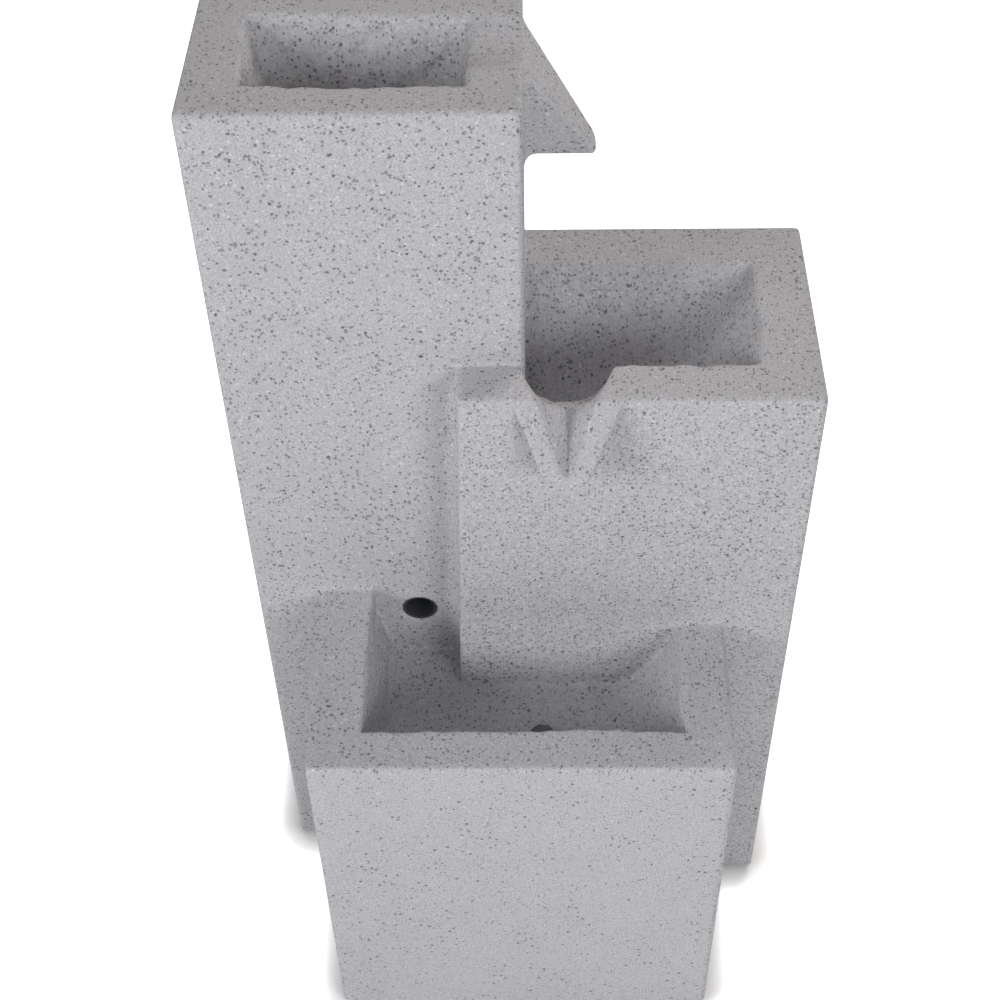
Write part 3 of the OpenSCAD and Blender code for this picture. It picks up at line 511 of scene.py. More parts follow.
class OBJECT_OT_fountain_castings(bpy.types.Operator):
    """Sculpt the bonded castings: columns, scooped basins, channels and beaks"""

    bl_idname = "fountain.castings"
    bl_label = "Castings"

    def execute(self, context):
        p = context.scene.fountain_shape
        whole = self.blank(p)
        tall, middle, bowl = self.tall(whole, p), self.middle(whole, p), self.bowl(whole, p)
        whole.join(tall, FRESH)
        whole.join(middle, self.bond(middle, p))
        whole.join(bowl, BOWL_BOND)
        whole.trim(lambda x, y, z: np.maximum(np.maximum(y - BACK, FOOT - z),
                                              np.maximum(LEFT - x, z - TALL_TOP)))
        self.hollow(whole, p)
        self.openings(whole, p)
        verts, quads = whole.skin()
        shell = mesh_object("bonded_castings", verts, quads, "fountain")
        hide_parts("tall_column", "tall_basin", "middle_column", "middle_basin",
                    "front_plinth", "front_basin")
        thin = shell.modifiers.new("Thinner", "DECIMATE")
        thin.ratio = 0.25
        flat = shell.modifiers.new("Flats", "DECIMATE")
        flat.decimate_type = "DISSOLVE"
        flat.angle_limit = math.radians(0.3)
        apply_modifiers(shell)
        smooth(shell)
        even = shell.modifiers.new("Even shading", "WEIGHTED_NORMAL")
        even.weight = 60
        shell.data.materials.append(cast_stone())
        print("castings", len(quads), "cells,", len(shell.data.polygons), "faces")
        return {"FINISHED"}

    def blank(self, p):
        """Empty clay around the castings, finest at the rims, spouts and edges."""
        f = p.fine
        some = 2 * f
        soft = p.edge + 2 * f
        pad = 8 * MM

        def corner(at, inward):
            """Fine marks at a rounded edge."""
            return (at - some, at + soft, f) if inward > 0 else (at - soft, at + some, f)

        def strip(at, start, stop):
            """Fine marks over a basin's sloping wall, from start to stop mm away."""
            return at + start * MM, at + stop * MM, f

        frame_t, above = 16 * MM, 4 * MM
        x = [corner(LEFT, 1), corner(RIGHT, -1), corner(BOWL_LEFT, 1), corner(BOWL_RIGHT, -1),
             strip(LEFT, 26, 62), (JOINT - 60 * MM, HIGH_BASIN_HIGH.x + some, f), strip(JOINT, 0, 70),
             strip(RIGHT, -76, -28), strip(BOWL_LEFT, 30, 56), strip(BOWL_RIGHT, -76, -28),
             (LEFT, RIGHT, 2 * f)]
        y = [corner(Y_FRONT, 1), corner(BACK, -1), strip(Y_FRONT, 28, 46),
             (LOW_BASIN_LOW.y - some, Y_TALL + 50 * MM, f), strip(BACK, -80, -30), (Y_FRONT, BACK, 2 * f)]
        z = [corner(FOOT, 1), (BOWL_SEAM + above, BOWL_TOP + some, f),
             (MIDDLE_SEAM + above, MIDDLE_TOP + some, f), (TALL_SEAM, TALL_TOP + some, f),
             (DOOR_LOW.z - frame_t, DOOR_HIGH.z + frame_t, 2 * f)]
        return Clay([marks(LEFT - pad, RIGHT + pad, p.cell, x), marks(Y_FRONT - pad, BACK + pad, p.cell, y),
                     marks(FOOT - pad, TALL_TOP + pad, p.cell, z)])

    def bond(self, middle, p):
        """The fillet of the middle column's bond: full beside the lapping strip, and small elsewhere."""
        lap_right, lap_back, fade, plain = -30 * MM, Y_TALL + 14 * MM, 40 * MM, 1.5 * MM
        x, y, z = middle.places(middle.reach(None))
        beside = p.bond * between(z, MIDDLE_TOP, MIDDLE_TOP - fade)
        return np.maximum(np.where((x < lap_right) & (y < lap_back), beside, 0), plain).astype(np.float32)

    def tall(self, whole, p):
        """The tall column with its scooped basin and its sideways spout."""
        out = whole.lump((LEFT - p.cell, Y_TALL - p.cell, -FAR), (HIGH_BASIN_HIGH.x + p.cell, FAR, FAR))
        out.add(block((LEFT, Y_TALL, FOOT), (JOINT, BACK, TALL_TOP), p.edge), FRESH)
        reach = HIGH_BASIN_HIGH.x - JOINT
        spout = Spout(root=(JOINT, HIGH_SPOUT_Y, TALL_TOP), out=(1, 0), reach=reach, drop=79 * MM,
                      lip=6 * MM, root_half=27 * MM, tip_half=7 * MM, half=24 * MM, sill=7 * MM,
                      flare=8 * MM, back=32 * MM, fall=2 * MM, start=7 * MM,
                      end=(reach * 0.9, 4.5 * MM, 2 * MM), bend=(2.0, 2.0), crest=4 * MM)
        near = ((JOINT - 50 * MM, Y_TALL, TALL_SEAM - 10 * MM), (FAR, FAR, FAR))
        _, _, z = out.places(out.cut_out(*near))
        thin, more, beak_edge = 3 * MM, 6 * MM, 4 * MM
        fillet = thin + more * between(z, TALL_TOP - 50 * MM, TALL_TOP - 74 * MM)
        out.add(spout.beak(beak_edge), fillet.astype(np.float32), near)
        levels = (TALL_TOP, TALL_TOP - PART_WAY, TALL_SEAM + p.wall)
        rows = drawn_in(LEFT, Y_TALL, JOINT, BACK, TALL_INSETS)
        out.cut(scoop(rows, levels, p.lip, p.scoop, p.wave), p.lip,
                ((-FAR, -FAR, TALL_SEAM), (JOINT, FAR, FAR)))
        out.cut(spout.channel, p.lip, near)
        out.cut(spout.trough, p.lip, near)
        return out

    def middle(self, whole, p):
        """The middle column, its lapping strip, its basin and its forward spout."""
        out = whole.lump((JOINT - 90 * MM, LOW_BASIN_LOW.y - p.cell, -FAR), (FAR, FAR, MIDDLE_TOP + p.cell))
        body = block((JOINT - 100 * MM, Y_MIDDLE, FOOT), (RIGHT, BACK, MIDDLE_TOP), p.edge)
        lean = p.lap_lean / (MIDDLE_TOP - FOOT)
        side = plane((JOINT - p.lap, 0, MIDDLE_TOP), (-1, 0, lean))
        out.add(lambda x, y, z: soft_max(body(x, y, z), side(x, y, z), p.edge), FRESH)
        reach = Y_MIDDLE - LOW_BASIN_LOW.y
        spout = Spout(root=(LOW_SPOUT_X, Y_MIDDLE, MIDDLE_TOP), out=(0, -1), reach=reach, drop=51 * MM,
                      lip=9 * MM, root_half=37 * MM, tip_half=12 * MM, half=18.5 * MM, sill=5 * MM,
                      flare=13 * MM, back=34 * MM, fall=32 * MM, start=28 * MM,
                      end=(reach * 0.86, 5 * MM, 7 * MM), bend=(3.0, 1.1), crest=14 * MM)
        near = ((JOINT - 20 * MM, -FAR, MIDDLE_SEAM), (JOINT + 90 * MM, Y_TALL + 20 * MM, FAR))
        beak_edge, fillet = 3.5 * MM, 2 * MM
        out.add(spout.beak(beak_edge), fillet, near)
        levels = (MIDDLE_TOP, MIDDLE_TOP - PART_WAY, MIDDLE_SEAM + p.wall)
        rows = drawn_in(JOINT, Y_TALL, RIGHT, BACK, MIDDLE_INSETS)
        out.cut(scoop(rows, levels, p.lip, p.scoop, p.wave, (0, 1, 1, 1)), p.lip,
                ((JOINT - 20 * MM, -FAR, MIDDLE_SEAM), (FAR, FAR, FAR)))
        out.cut(spout.channel, p.lip, near)
        out.cut(spout.trough, p.lip, near)
        return out

    def bowl(self, whole, p):
        """The front basin, with the bay that runs back beside the lapping strip."""
        out = whole.lump((BOWL_LEFT - p.cell, Y_FRONT - p.cell, -FAR),
                         (BOWL_RIGHT + p.cell, Y_TALL + 30 * MM, BOWL_TOP + p.cell))
        out.add(block((BOWL_LEFT, Y_FRONT, FOOT), (BOWL_RIGHT, Y_TALL + 60 * MM, BOWL_TOP), p.edge), FRESH)
        levels = (BOWL_TOP, BOWL_TOP - BOWL_PART_WAY, BOWL_SEAM + p.wall)
        rows = drawn_in(BOWL_LEFT, Y_FRONT, BOWL_RIGHT, BAY_BACK, BOWL_INSETS)
        out.cut(scoop(rows, levels, p.lip, p.bowl, 0.7 * p.wave), p.lip,
                ((-FAR, -FAR, BOWL_SEAM), (FAR, FAR, FAR)))
        return out

    def hollow(self, clay, p):
        """The hollows inside the castings, and the seat of the base plate."""
        w, k, gap = p.wall, HOLLOW_R, 0.5 * MM
        seat = PLATE_LOW.x - LEFT - gap
        plate = PLATE_HIGH.z
        for x0, y0, x1, y1, top in (
                (LEFT + w, Y_TALL + w, JOINT - w, BACK - w, TALL_SEAM),
                (JOINT + w, Y_MIDDLE + w, RIGHT - w, BACK - w, MIDDLE_SEAM),
                (BOWL_LEFT + w, Y_FRONT + w, BOWL_RIGHT - w, Y_MIDDLE - w, BOWL_SEAM),
                (LEFT + seat, Y_TALL + seat, RIGHT - seat, BACK - seat, plate),
                (JOINT, Y_MIDDLE + seat, RIGHT - seat, BACK - seat, plate),
                (BOWL_LEFT + seat, Y_FRONT + seat, BOWL_RIGHT - seat, Y_TALL + 2 * seat, plate)):
            clay.cut(block((x0, y0, -FAR), (x1, y1, top), k), k,
                     ((x0 - w, y0 - w, -FAR), (x1 + w, y1 + w, top + w)))

    def openings(self, clay, p):
        """The door's frame, recess and opening, and the holes for the plumbing."""
        k, w = FRAME_R, p.wall
        mid_x, mid_z = (DOOR_LOW.x + DOOR_HIGH.x) / 2, (DOOR_LOW.z + DOOR_HIGH.z) / 2
        half_x, half_z = (DOOR_HIGH.x - DOOR_LOW.x) / 2, (DOOR_HIGH.z - DOOR_LOW.z) / 2
        ledge, rim, pad = SEAL_LOW.y, 11 * MM, 20 * MM
        frame_t, sunk, gap = 8 * MM, 1 * MM, 0.6 * MM
        area = ((LEFT, ledge - pad, DOOR_LOW.z - pad), (JOINT, FAR, DOOR_HIGH.z + pad))

        def around(grow, y0, y1):
            """A rounded block as wide and high as the door, and more by grow on every side."""
            return block((mid_x - half_x - grow, y0, mid_z - half_z - grow),
                         (mid_x + half_x + grow, y1, mid_z + half_z + grow), k)

        clay.add(around(rim, ledge - frame_t, BACK - sunk), k, area)
        clay.cut(around(gap, ledge, FAR), HOLE_R, area)
        clay.cut(around(-rim, -FAR, FAR), k, area)

        pipe_r = (ELBOW_HIGH.x - ELBOW_LOW.x) / 2
        x, z, r = ELBOW_LOW.x + pipe_r, ELBOW_HIGH.z - pipe_r, p.overflow / 2
        clay.cut(level_rod(x, z, r, -FAR, Y_TALL + 2 * w), OVERFLOW_R,
                 ((x - 2 * r, Y_TALL - w, z - 2 * r), (x + 2 * r, Y_TALL + 2 * w, z + 2 * r)))
        x, z, r = (GROMMET_LOW.x + GROMMET_HIGH.x) / 2, (GROMMET_LOW.z + GROMMET_HIGH.z) / 2, GROMMET_BORE
        clay.cut(level_rod(x, z, r, BACK - 2 * w, FAR), HOLE_R,
                 ((x - 2 * r, BACK - 2 * w, z - 2 * r), (x + 2 * r, FAR, z + 2 * r)))
        for low, high, r, seam in ((INLET_LOW, INLET_HIGH, INLET_BORE, TALL_SEAM),
                                   (PLUG_LOW, PLUG_HIGH, DRAIN_BORE, BOWL_SEAM)):
            x, y = (low.x + high.x) / 2, (low.y + high.y) / 2
            clay.cut(upright(x, y, r, seam - FAR, seam + 2 * w), HOLE_R,
                     ((x - 2 * r, y - 2 * r, seam - 2 * w), (x + 2 * r, y + 2 * r, seam + 3 * w)))


# Turned and moulded pieces

STEEL, BRASS, GLAZE = (0.56, 0.55, 0.52), (0.60, 0.42, 0.16), (0.82, 0.80, 0.76)


class OBJECT_OT_fountain_door(bpy.types.Operator):
    """Finish the service door, its seal, its thumb screws and the grommet beside it"""

    bl_idname = "fountain.door"
    bl_label = "Service door"

    def execute(self, context):
        c = context.scene.fountain_colours
        dress(["service_door"], cast_stone(), soft=0.8 * MM)
        dress(["door_seal", "cable_grommet"], rubber("seal_rubber", c.rubber), soft=0.3 * MM)
        dress(["door_inserts"], turned_metal("turned_brass", BRASS, 0.28))
        self.thumb_screws()
        return {"FINISHED"}

    def thumb_screws(self):
        """Knurled thumb screws with dished faces and plain shanks."""
        head_r, head_t, shank_r, seat = 5.5 * MM, 3.5 * MM, 2.5 * MM, 0.4 * MM
        face = SCREWS_HIGH.y - head_t
        profile = [(shank_r * 0.2, SCREWS_LOW.y - face, 0), (shank_r * 0.8, SCREWS_LOW.y - face, 0),
                   (shank_r, SCREWS_LOW.y - face + seat, 0), (shank_r, 0, 0), (head_r * 0.86, 0, 0),
                   (head_r * 0.93, seat, 0), (head_r, 2 * seat, 1), (head_r, head_t - 2 * seat, 1),
                   (head_r * 0.93, head_t - seat, 0), (head_r * 0.86, head_t, 0), (head_r * 0.62, head_t, 0),
                   (head_r * 0.52, head_t - seat, 0), (head_r * 0.04, head_t - seat, 0)]
        verts, quads, count = [], [], 0
        for x in (SCREWS_LOW.x + head_r, SCREWS_HIGH.x - head_r):
            for z in (SCREWS_LOW.z + head_r, SCREWS_HIGH.z - head_r):
                v, q = turned(profile, 96, (x, face, z), axis="Y", teeth=24, bite=0.45 * MM)
                verts.append(v)
                quads.append(q + count)
                count += len(v)
        ob = mesh_object("thumb_screws", np.concatenate(verts), np.concatenate(quads), "door")
        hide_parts("door_screws")
        smooth(ob)
        ob.data.materials.append(turned_metal("turned_steel", STEEL, 0.32))


class OBJECT_OT_fountain_base(bpy.types.Operator):
    """Finish the base board, its screws and the rubber pads"""

    bl_idname = "fountain.base"
    bl_label = "Base"

    def execute(self, context):
        c = context.scene.fountain_colours
        dress(["base_plate"], pressed_board("base_board", c.board))
        dress(["base_screws"], turned_metal("screw_metal", STEEL, 0.35))
        dress(["foot_pads"], rubber("pad_rubber", c.rubber), soft=0.5 * MM)
        return {"FINISHED"}


class OBJECT_OT_fountain_pump(bpy.types.Operator):
    """Finish the sump tub and the pump with its impeller, shaft and strainer"""

    bl_idname = "fountain.pump"
    bl_label = "Pump"

    def execute(self, context):
        c = context.scene.fountain_colours
        dress(["sump_tub"],
              moulded("tub_moulding", c.tub, roughness=0.5, scale=900.0, wear=0.25), soft=0.6 * MM)
        dress(["pump_housing", "pump_volute", "pump_strainer"],
              moulded("pump_moulding", c.pump, roughness=0.45, scale=1400.0, wear=0.35), soft=0.5 * MM)
        dress(["pump_impeller"],
              moulded("rotor_moulding", c.rotor, roughness=0.35, scale=1100.0, wear=0.15))
        dress(["pump_shaft"], ceramic("shaft_glaze", GLAZE))
        dress(["pump_bushings", "suction_feet"], rubber("pump_rubber", c.rubber))
        dress(["filter_sponge"], foam("filter_foam", c.foam))
        return {"FINISHED"}


class OBJECT_OT_fountain_plumbing(bpy.types.Operator):
    """Finish the valve, hose, inlet, overflow elbow and drain, and turn the plug"""

    bl_idname = "fountain.plumbing"
    bl_label = "Plumbing"

    def execute(self, context):
        c = context.scene.fountain_colours
        dress(["flow_valve", "inlet_fitting", "inlet_nut"],
              moulded("valve_moulding", c.pump, roughness=0.42, scale=1300.0, wear=0.3), soft=0.3 * MM)
        dress(["flow_knob"],
              moulded("knob_moulding", c.knob, roughness=0.4, scale=1200.0, wear=0.2), soft=0.4 * MM)
        dress(["riser_hose", "drain_tube"], milky_tube("milky_tube", c.tube))
        dress(["hose_clips"], turned_metal("clip_steel", STEEL, 0.3))
        dress(["inlet_seal"], rubber("washer_rubber", c.rubber))
        dress(["overflow_elbow", "drain_bush", "drain_nut"],
              moulded("pipe_moulding", c.tub, roughness=0.5, scale=1000.0, wear=0.25))
        self.plug(c)
        return {"FINISHED"}

    def plug(self, c):
        """The drain plug: a flanged rubber head with a domed grip, and a slightly tapered stem."""
        x, y = (PLUG_LOW.x + PLUG_HIGH.x) / 2, (PLUG_LOW.y + PLUG_HIGH.y) / 2
        head_r, head = (PLUG_HIGH.x - PLUG_LOW.x) / 2, BOWL_SEAM + 9.3 * MM
        top = PLUG_HIGH.z - head
        stem_r, stem = 4.9 * MM, PLUG_LOW.z - head
        dome = [(head_r * 0.66 * math.cos(a), top * (0.34 + 0.66 * math.sin(a)), 0)
                for a in (math.radians(8 * i) for i in range(1, 12))]
        profile = [(stem_r * 0.1, stem, 0), (stem_r * 0.9, stem, 0), (stem_r, stem + 0.6 * MM, 0),
                   (stem_r + 0.2 * MM, 0, 0), (head_r * 0.94, 0, 0), (head_r, 0.08 * top, 0),
                   (head_r, 0.2 * top, 0), (head_r * 0.95, 0.3 * top, 0), (head_r * 0.7, 0.33 * top, 0)]
        verts, quads = turned(profile + dome, 64, (x, y, head))
        ob = mesh_object("drain_plug_turned", verts, quads, "plug")
        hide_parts("drain_plug")
        smooth(ob)
        ob.data.materials.append(rubber("plug_rubber_finish", c.plug))


# Finishes


def new_group(name, inputs, outputs):
    """A shader node group with named sockets: (name, type, default)."""
    tree = bpy.data.node_groups.new(name, "ShaderNodeTree")
    for socket, kind, value in inputs:
        made = tree.interface.new_socket(socket, in_out="INPUT", socket_type="NodeSocket" + kind)
        if value is not None:
            made.default_value = value
    for socket, kind in outputs:
        tree.interface.new_socket(socket, in_out="OUTPUT", socket_type="NodeSocket" + kind)
    return tree, tree.nodes.new("NodeGroupInput"), tree.nodes.new("NodeGroupOutput")


def node(tree, kind, **values):
    """A node with its fields, and its sockets given as in_NAME or in_NUMBER."""
    n = tree.nodes.new("ShaderNode" + kind)
    for key, value in values.items():
        if key.startswith("in_"):
            name = key[3:]
            n.inputs[int(name) if name.isdigit() else name.replace("_", " ")].default_value = value
        else:
            setattr(n, key, value)
    return n


def feed(tree, value, socket):
    """Links a socket, or sets a number, colour or vector."""
    if isinstance(value, bpy.types.NodeSocket):
        tree.links.new(value, socket)
    elif isinstance(value, (int, float)):
        socket.default_value = value
    else:
        size = len(socket.default_value)
        socket.default_value = (*value, 1.0)[:size]


def maths(tree, kind, a, b=None, c=None):
    """A Math node on sockets or numbers."""
    n = node(tree, "Math", operation=kind)
    for i, value in enumerate((a, b, c)):
        if value is not None:
            feed(tree, value, n.inputs[i])
    return n.outputs[0]


def vector(tree, kind, a, b):
    """A Vector Math node on sockets or vectors."""
    n = node(tree, "VectorMath", operation=kind)
    feed(tree, a, n.inputs[0])
    feed(tree, b, n.inputs["Scale" if kind == "SCALE" else 1])
    return n.outputs[0]


def ramp(tree, value, low, high, to_low=0.0, to_high=1.0):
    """A smooth step from low to high."""
    n = node(tree, "MapRange", interpolation_type="SMOOTHSTEP", clamp=True)
    for i, v in enumerate((value, low, high, to_low, to_high)):
        feed(tree, v, n.inputs[i])
    return n.outputs[0]


def mix(tree, factor, a, b):
    """A colour mix of sockets or colours."""
    n = node(tree, "Mix", data_type="RGBA")
    for i, value in ((0, factor), (6, a), (7, b)):
        feed(tree, value, n.inputs[i])
    return n.outputs[2]


def lay(tree, ground, mask, share, colour):
    """A ground with a colour laid over it where a mask says, by a share."""
    return mix(tree, maths(tree, "MULTIPLY", mask, share), ground, colour)


def noise(tree, at, scale, detail=2.0, roughness=0.5):
    """A Noise node's value and colour."""
    n = node(tree, "TexNoise")
    for name, value in (("Vector", at), ("Scale", scale), ("Detail", detail), ("Roughness", roughness)):
        feed(tree, value, n.inputs[name])
    return n.outputs["Fac"], n.outputs["Color"]


def group(name, inputs, outputs, make):
    """A node group by name, made once."""
    if name in bpy.data.node_groups:
        return bpy.data.node_groups[name]
    tree, give, out = new_group(name, inputs, outputs)
    for key, socket in make(tree, give.outputs).items():
        tree.links.new(socket, out.inputs[key])
    return tree


def chips_group():
    """Chips scattered through a ground: irregular dark grains and pale flecks, cut by the surface."""

    def make(tree, give):
        cells = node(tree, "TexVoronoi", feature="F1", distance="EUCLIDEAN")
        warp = vector(tree, "SCALE", give["Warp"], give["Ragged"])
        feed(tree, vector(tree, "ADD", give["Vector"], warp), cells.inputs["Vector"])
        feed(tree, give["Scale"], cells.inputs["Scale"])
        tone = node(tree, "SeparateColor")
        feed(tree, cells.outputs["Color"], tone.inputs[0])
        spread = maths(tree, "MULTIPLY_ADD", tone.outputs[1], 1.1, 0.25)
        radius = maths(tree, "MULTIPLY", give["Size"], spread)
        mask = ramp(tree, cells.outputs["Distance"], maths(tree, "MULTIPLY", radius, 0.7), radius, 1.0, 0.0)
        dark = maths(tree, "MULTIPLY", mask, maths(tree, "LESS_THAN", tone.outputs[0], give["Dark share"]))
        pale = maths(tree, "MULTIPLY", mask, maths(tree, "GREATER_THAN", tone.outputs[0], give["Pale share"]))
        return {"Dark": dark, "Pale": pale, "Shade": tone.outputs[2]}

    return group("Stone Chips", [
        ("Vector", "Vector", None), ("Warp", "Vector", None), ("Scale", "Float", 200.0),
        ("Size", "Float", 0.25), ("Dark share", "Float", 0.6), ("Pale share", "Float", 0.85),
        ("Ragged", "Float", 0.002)],
        [("Dark", "Float"), ("Pale", "Float"), ("Shade", "Float")], make)


def grain_group():
    """A fine moulded or cast grain: a tone, a height and wide patches."""

    def make(tree, give):
        fine, _ = noise(tree, give["Vector"], give["Scale"], give["Detail"], give["Roughness"])
        wide, _ = noise(tree, give["Vector"], maths(tree, "MULTIPLY", give["Scale"], 0.03), 2.0)
        return {"Tone": ramp(tree, fine, 0.3, 0.7), "Height": fine, "Patches": ramp(tree, wide, 0.35, 0.65)}

    return group("Fine Grain", [
        ("Vector", "Vector", None), ("Scale", "Float", 500.0), ("Detail", "Float", 2.0),
        ("Roughness", "Float", 0.6)],
        [("Tone", "Float"), ("Height", "Float"), ("Patches", "Float")], make)


def lines_group():
    """Fine lines left by turning or brushing, and a few deeper scratches."""

    def make(tree, give):
        drawn = vector(tree, "MULTIPLY", give["Vector"], give["Stretch"])
        fine, _ = noise(tree, drawn, give["Scale"], 3.0, 0.7)
        deep, _ = noise(tree, drawn, maths(tree, "MULTIPLY", give["Scale"], 0.35), 1.0)
        return {"Lines": ramp(tree, fine, 0.3, 0.7), "Scratches": ramp(tree, deep, 0.62, 0.7)}

    return group("Drawn Lines", [
        ("Vector", "Vector", None), ("Stretch", "Vector", (1.0, 1.0, 1.0)), ("Scale", "Float", 900.0)],
        [("Lines", "Float"), ("Scratches", "Float")], make)


def pores_group():
    """Open pores of a foam."""

    def make(tree, give):
        cells = node(tree, "TexVoronoi", feature="DISTANCE_TO_EDGE")
        feed(tree, give["Vector"], cells.inputs["Vector"])
        feed(tree, give["Scale"], cells.inputs["Scale"])
        return {"Walls": ramp(tree, cells.outputs["Distance"], 0.02, 0.16, 1.0, 0.0)}

    return group("Open Pores", [
        ("Vector", "Vector", None), ("Scale", "Float", 600.0)],
        [("Walls", "Float")], make)


def inside_group():
    """Whether a place is in a box: 1 well inside it, falling softly to 0 at its sides."""

    def make(tree, give):
        nearest = vector(tree, "MINIMUM", vector(tree, "SUBTRACT", give["Vector"], give["Low"]),
                         vector(tree, "SUBTRACT", give["High"], give["Vector"]))
        sides = node(tree, "SeparateXYZ")
        feed(tree, nearest, sides.inputs[0])
        across = maths(tree, "MINIMUM", sides.outputs[0], sides.outputs[1])
        least = maths(tree, "MINIMUM", across, sides.outputs[2])
        return {"Inside": ramp(tree, least, 0.0, give["Soft"])}

    return group("Inside Box", [
        ("Vector", "Vector", None), ("Low", "Vector", (0.0, 0.0, 0.0)),
        ("High", "Vector", (1.0, 1.0, 1.0)), ("Soft", "Float", 0.01)],
        [("Inside", "Float")], make)


def place(tree, tree_group, at, **values):
    """A group node in a material, fed with a place."""
    n = node(tree, "Group", node_tree=tree_group)
    feed(tree, at, n.inputs["Vector"])
    for key, value in values.items():
        feed(tree, value, n.inputs[key.replace("_", " ")])
    return n.outputs


def new_material(name, **sockets):
    """A material, its tree, its shader with plain sockets set, and the object's own coordinates."""
    mat = bpy.data.materials.new(name)
    mat.use_nodes = True
    tree = mat.node_tree
    shader = tree.nodes["Principled BSDF"]
    for key, value in sockets.items():
        shader.inputs[key.replace("_", " ")].default_value = value
    return mat, tree, shader, node(tree, "TexCoord").outputs["Object"]


def bump(tree, shader, height, strength, distance):
    """Roughens a shader's surface by a height."""
    n = node(tree, "Bump", in_Strength=strength, in_Distance=distance)
    tree.links.new(height, n.inputs["Height"])
    tree.links.new(n.outputs["Normal"], shader.inputs["Normal"])


def shade(base, share):
    """A darker or a paler shade of a colour."""
    return tuple(min(v * share, 1.0) for v in base)


def mottled(tree, tone, base, low, high):
    """A colour between two of its shades, by a tone."""
    return mix(tree, tone, shade(base, low), shade(base, high))


def swirl(tree, at, scale, detail):
    """A small shift to every side, which makes round chips ragged."""
    _, colours = noise(tree, at, scale, detail)
    return vector(tree, "SUBTRACT", colours, (0.5, 0.5, 0.5))


def hand_worked(tree, at):
    """Where the basins' insides were worked by hand and left rough: 1 there, and 0 on the moulded faces.
    The rough starts behind walls of thickness t, and is half as strong in the front basin."""
    t, rough = 20 * MM, 0.0
    for low, high, share in (
            ((LEFT + t, Y_TALL + t, TALL_SEAM), (JOINT - t, BACK - t, TALL_TOP), 1.0),
            ((JOINT, Y_MIDDLE + t, MIDDLE_SEAM), (RIGHT - t, BACK - t, MIDDLE_TOP), 1.0),
            ((BOWL_LEFT + t, Y_FRONT + t, BOWL_SEAM), (BOWL_RIGHT - t, Y_TALL, BOWL_TOP), 0.5)):
        inside = place(tree, inside_group(), at, Low=low, High=high, Soft=8 * MM)["Inside"]
        rough = maths(tree, "MULTIPLY_ADD", inside, share, rough)
    return rough


# The stone's chips, from dark to pale. The darkest of the big ones is a property.
BIG_PALEST, SMALL_DARKEST, SMALL_PALEST = (0.22, 0.22, 0.235), (0.11, 0.11, 0.12), (0.33, 0.33, 0.34)


def cast_stone():
    """Speckled grey cast stone: dark chips of two sizes, pale flecks and a fine ground. It is rougher, and
    more crowded with chips, where it was worked by hand and in wide patches. In the worked basins its ground
    is painted paler and its tooled hollows are painted darker, as painted light and shade of the tooling."""
    if "cast_stone" in bpy.data.materials:
        return bpy.data.materials["cast_stone"]
    c = bpy.context.scene.fountain_colours
    mat, tree, shader, at = new_material("cast_stone", Roughness=0.82)
    shader.inputs["Specular IOR Level"].default_value = 0.25
    warp = swirl(tree, at, 480.0, 2.0)
    grain = place(tree, grain_group(), at, Scale=760.0, Detail=2.0, Roughness=0.7)
    worked = hand_worked(tree, at)
    crowd = maths(tree, "MULTIPLY_ADD", worked, 0.7, grain["Patches"])
    big_size = maths(tree, "MULTIPLY_ADD", crowd, 0.055, 0.165)
    small_size = maths(tree, "MULTIPLY_ADD", crowd, 0.08, 0.35)
    big = place(tree, chips_group(), at, Warp=warp, Scale=205.0, Size=big_size, Dark_share=0.6,
                Pale_share=0.97, Ragged=0.0027)
    small = place(tree, chips_group(), at, Warp=warp, Scale=420.0, Size=small_size, Dark_share=0.62,
                  Pale_share=0.86, Ragged=0.0021)
    tooled, _ = noise(tree, at, 230.0, 3.0, 0.7)
    # Painted shade: in the basins, where the tooled height is low, the ground is laid darker
    painted_pit_shade = maths(tree, "MULTIPLY", worked, ramp(tree, tooled, 0.34, 0.52, 1.0, 0.0))
    big_chip = mix(tree, big["Shade"], tuple(c.chip), BIG_PALEST)
    small_chip = mix(tree, small["Shade"], SMALL_DARKEST, SMALL_PALEST)
    ground = mottled(tree, grain["Tone"], c.stone, 0.78, 1.18)
    # The first two lays are painted light and shade of the tooled relief: the basins' ground paler, its low
    # tooled places darker
    for mask, share, colour in ((worked, 0.35, shade(c.stone, 1.2)), (painted_pit_shade, 0.35, shade(c.stone, 0.5)),
                                (grain["Patches"], 0.3, shade(c.stone, 0.92)),
                                (small["Pale"], 0.7, tuple(c.fleck)), (small["Dark"], 0.74, small_chip),
                                (big["Pale"], 0.6, tuple(c.fleck)), (big["Dark"], 0.8, big_chip)):
        ground = lay(tree, ground, mask, share, colour)
    feed(tree, ground, shader.inputs["Base Color"])
    rough = maths(tree, "MULTIPLY", tooled, worked)
    height = maths(tree, "MULTIPLY_ADD", rough, 9.0, grain["Height"])
    bump(tree, shader, height, strength=0.55, distance=0.0008)
    return mat


def moulded(name, base, roughness, scale, wear):
    """Moulded plastic with a spark-eroded grain and faint cloudy wear."""
    mat, tree, shader, at = new_material(name, Roughness=roughness)
    grain = place(tree, grain_group(), at, Scale=scale)
    body = mottled(tree, grain["Tone"], base, 0.82, 1.25)
    feed(tree, lay(tree, body, grain["Patches"], wear, shade(base, 1.6)), shader.inputs["Base Color"])
    worn = ramp(tree, grain["Patches"], 0.0, 1.0, roughness - 0.06, roughness + 0.1)
    feed(tree, worn, shader.inputs["Roughness"])
    bump(tree, shader, grain["Height"], strength=0.25, distance=0.0003)
    return mat


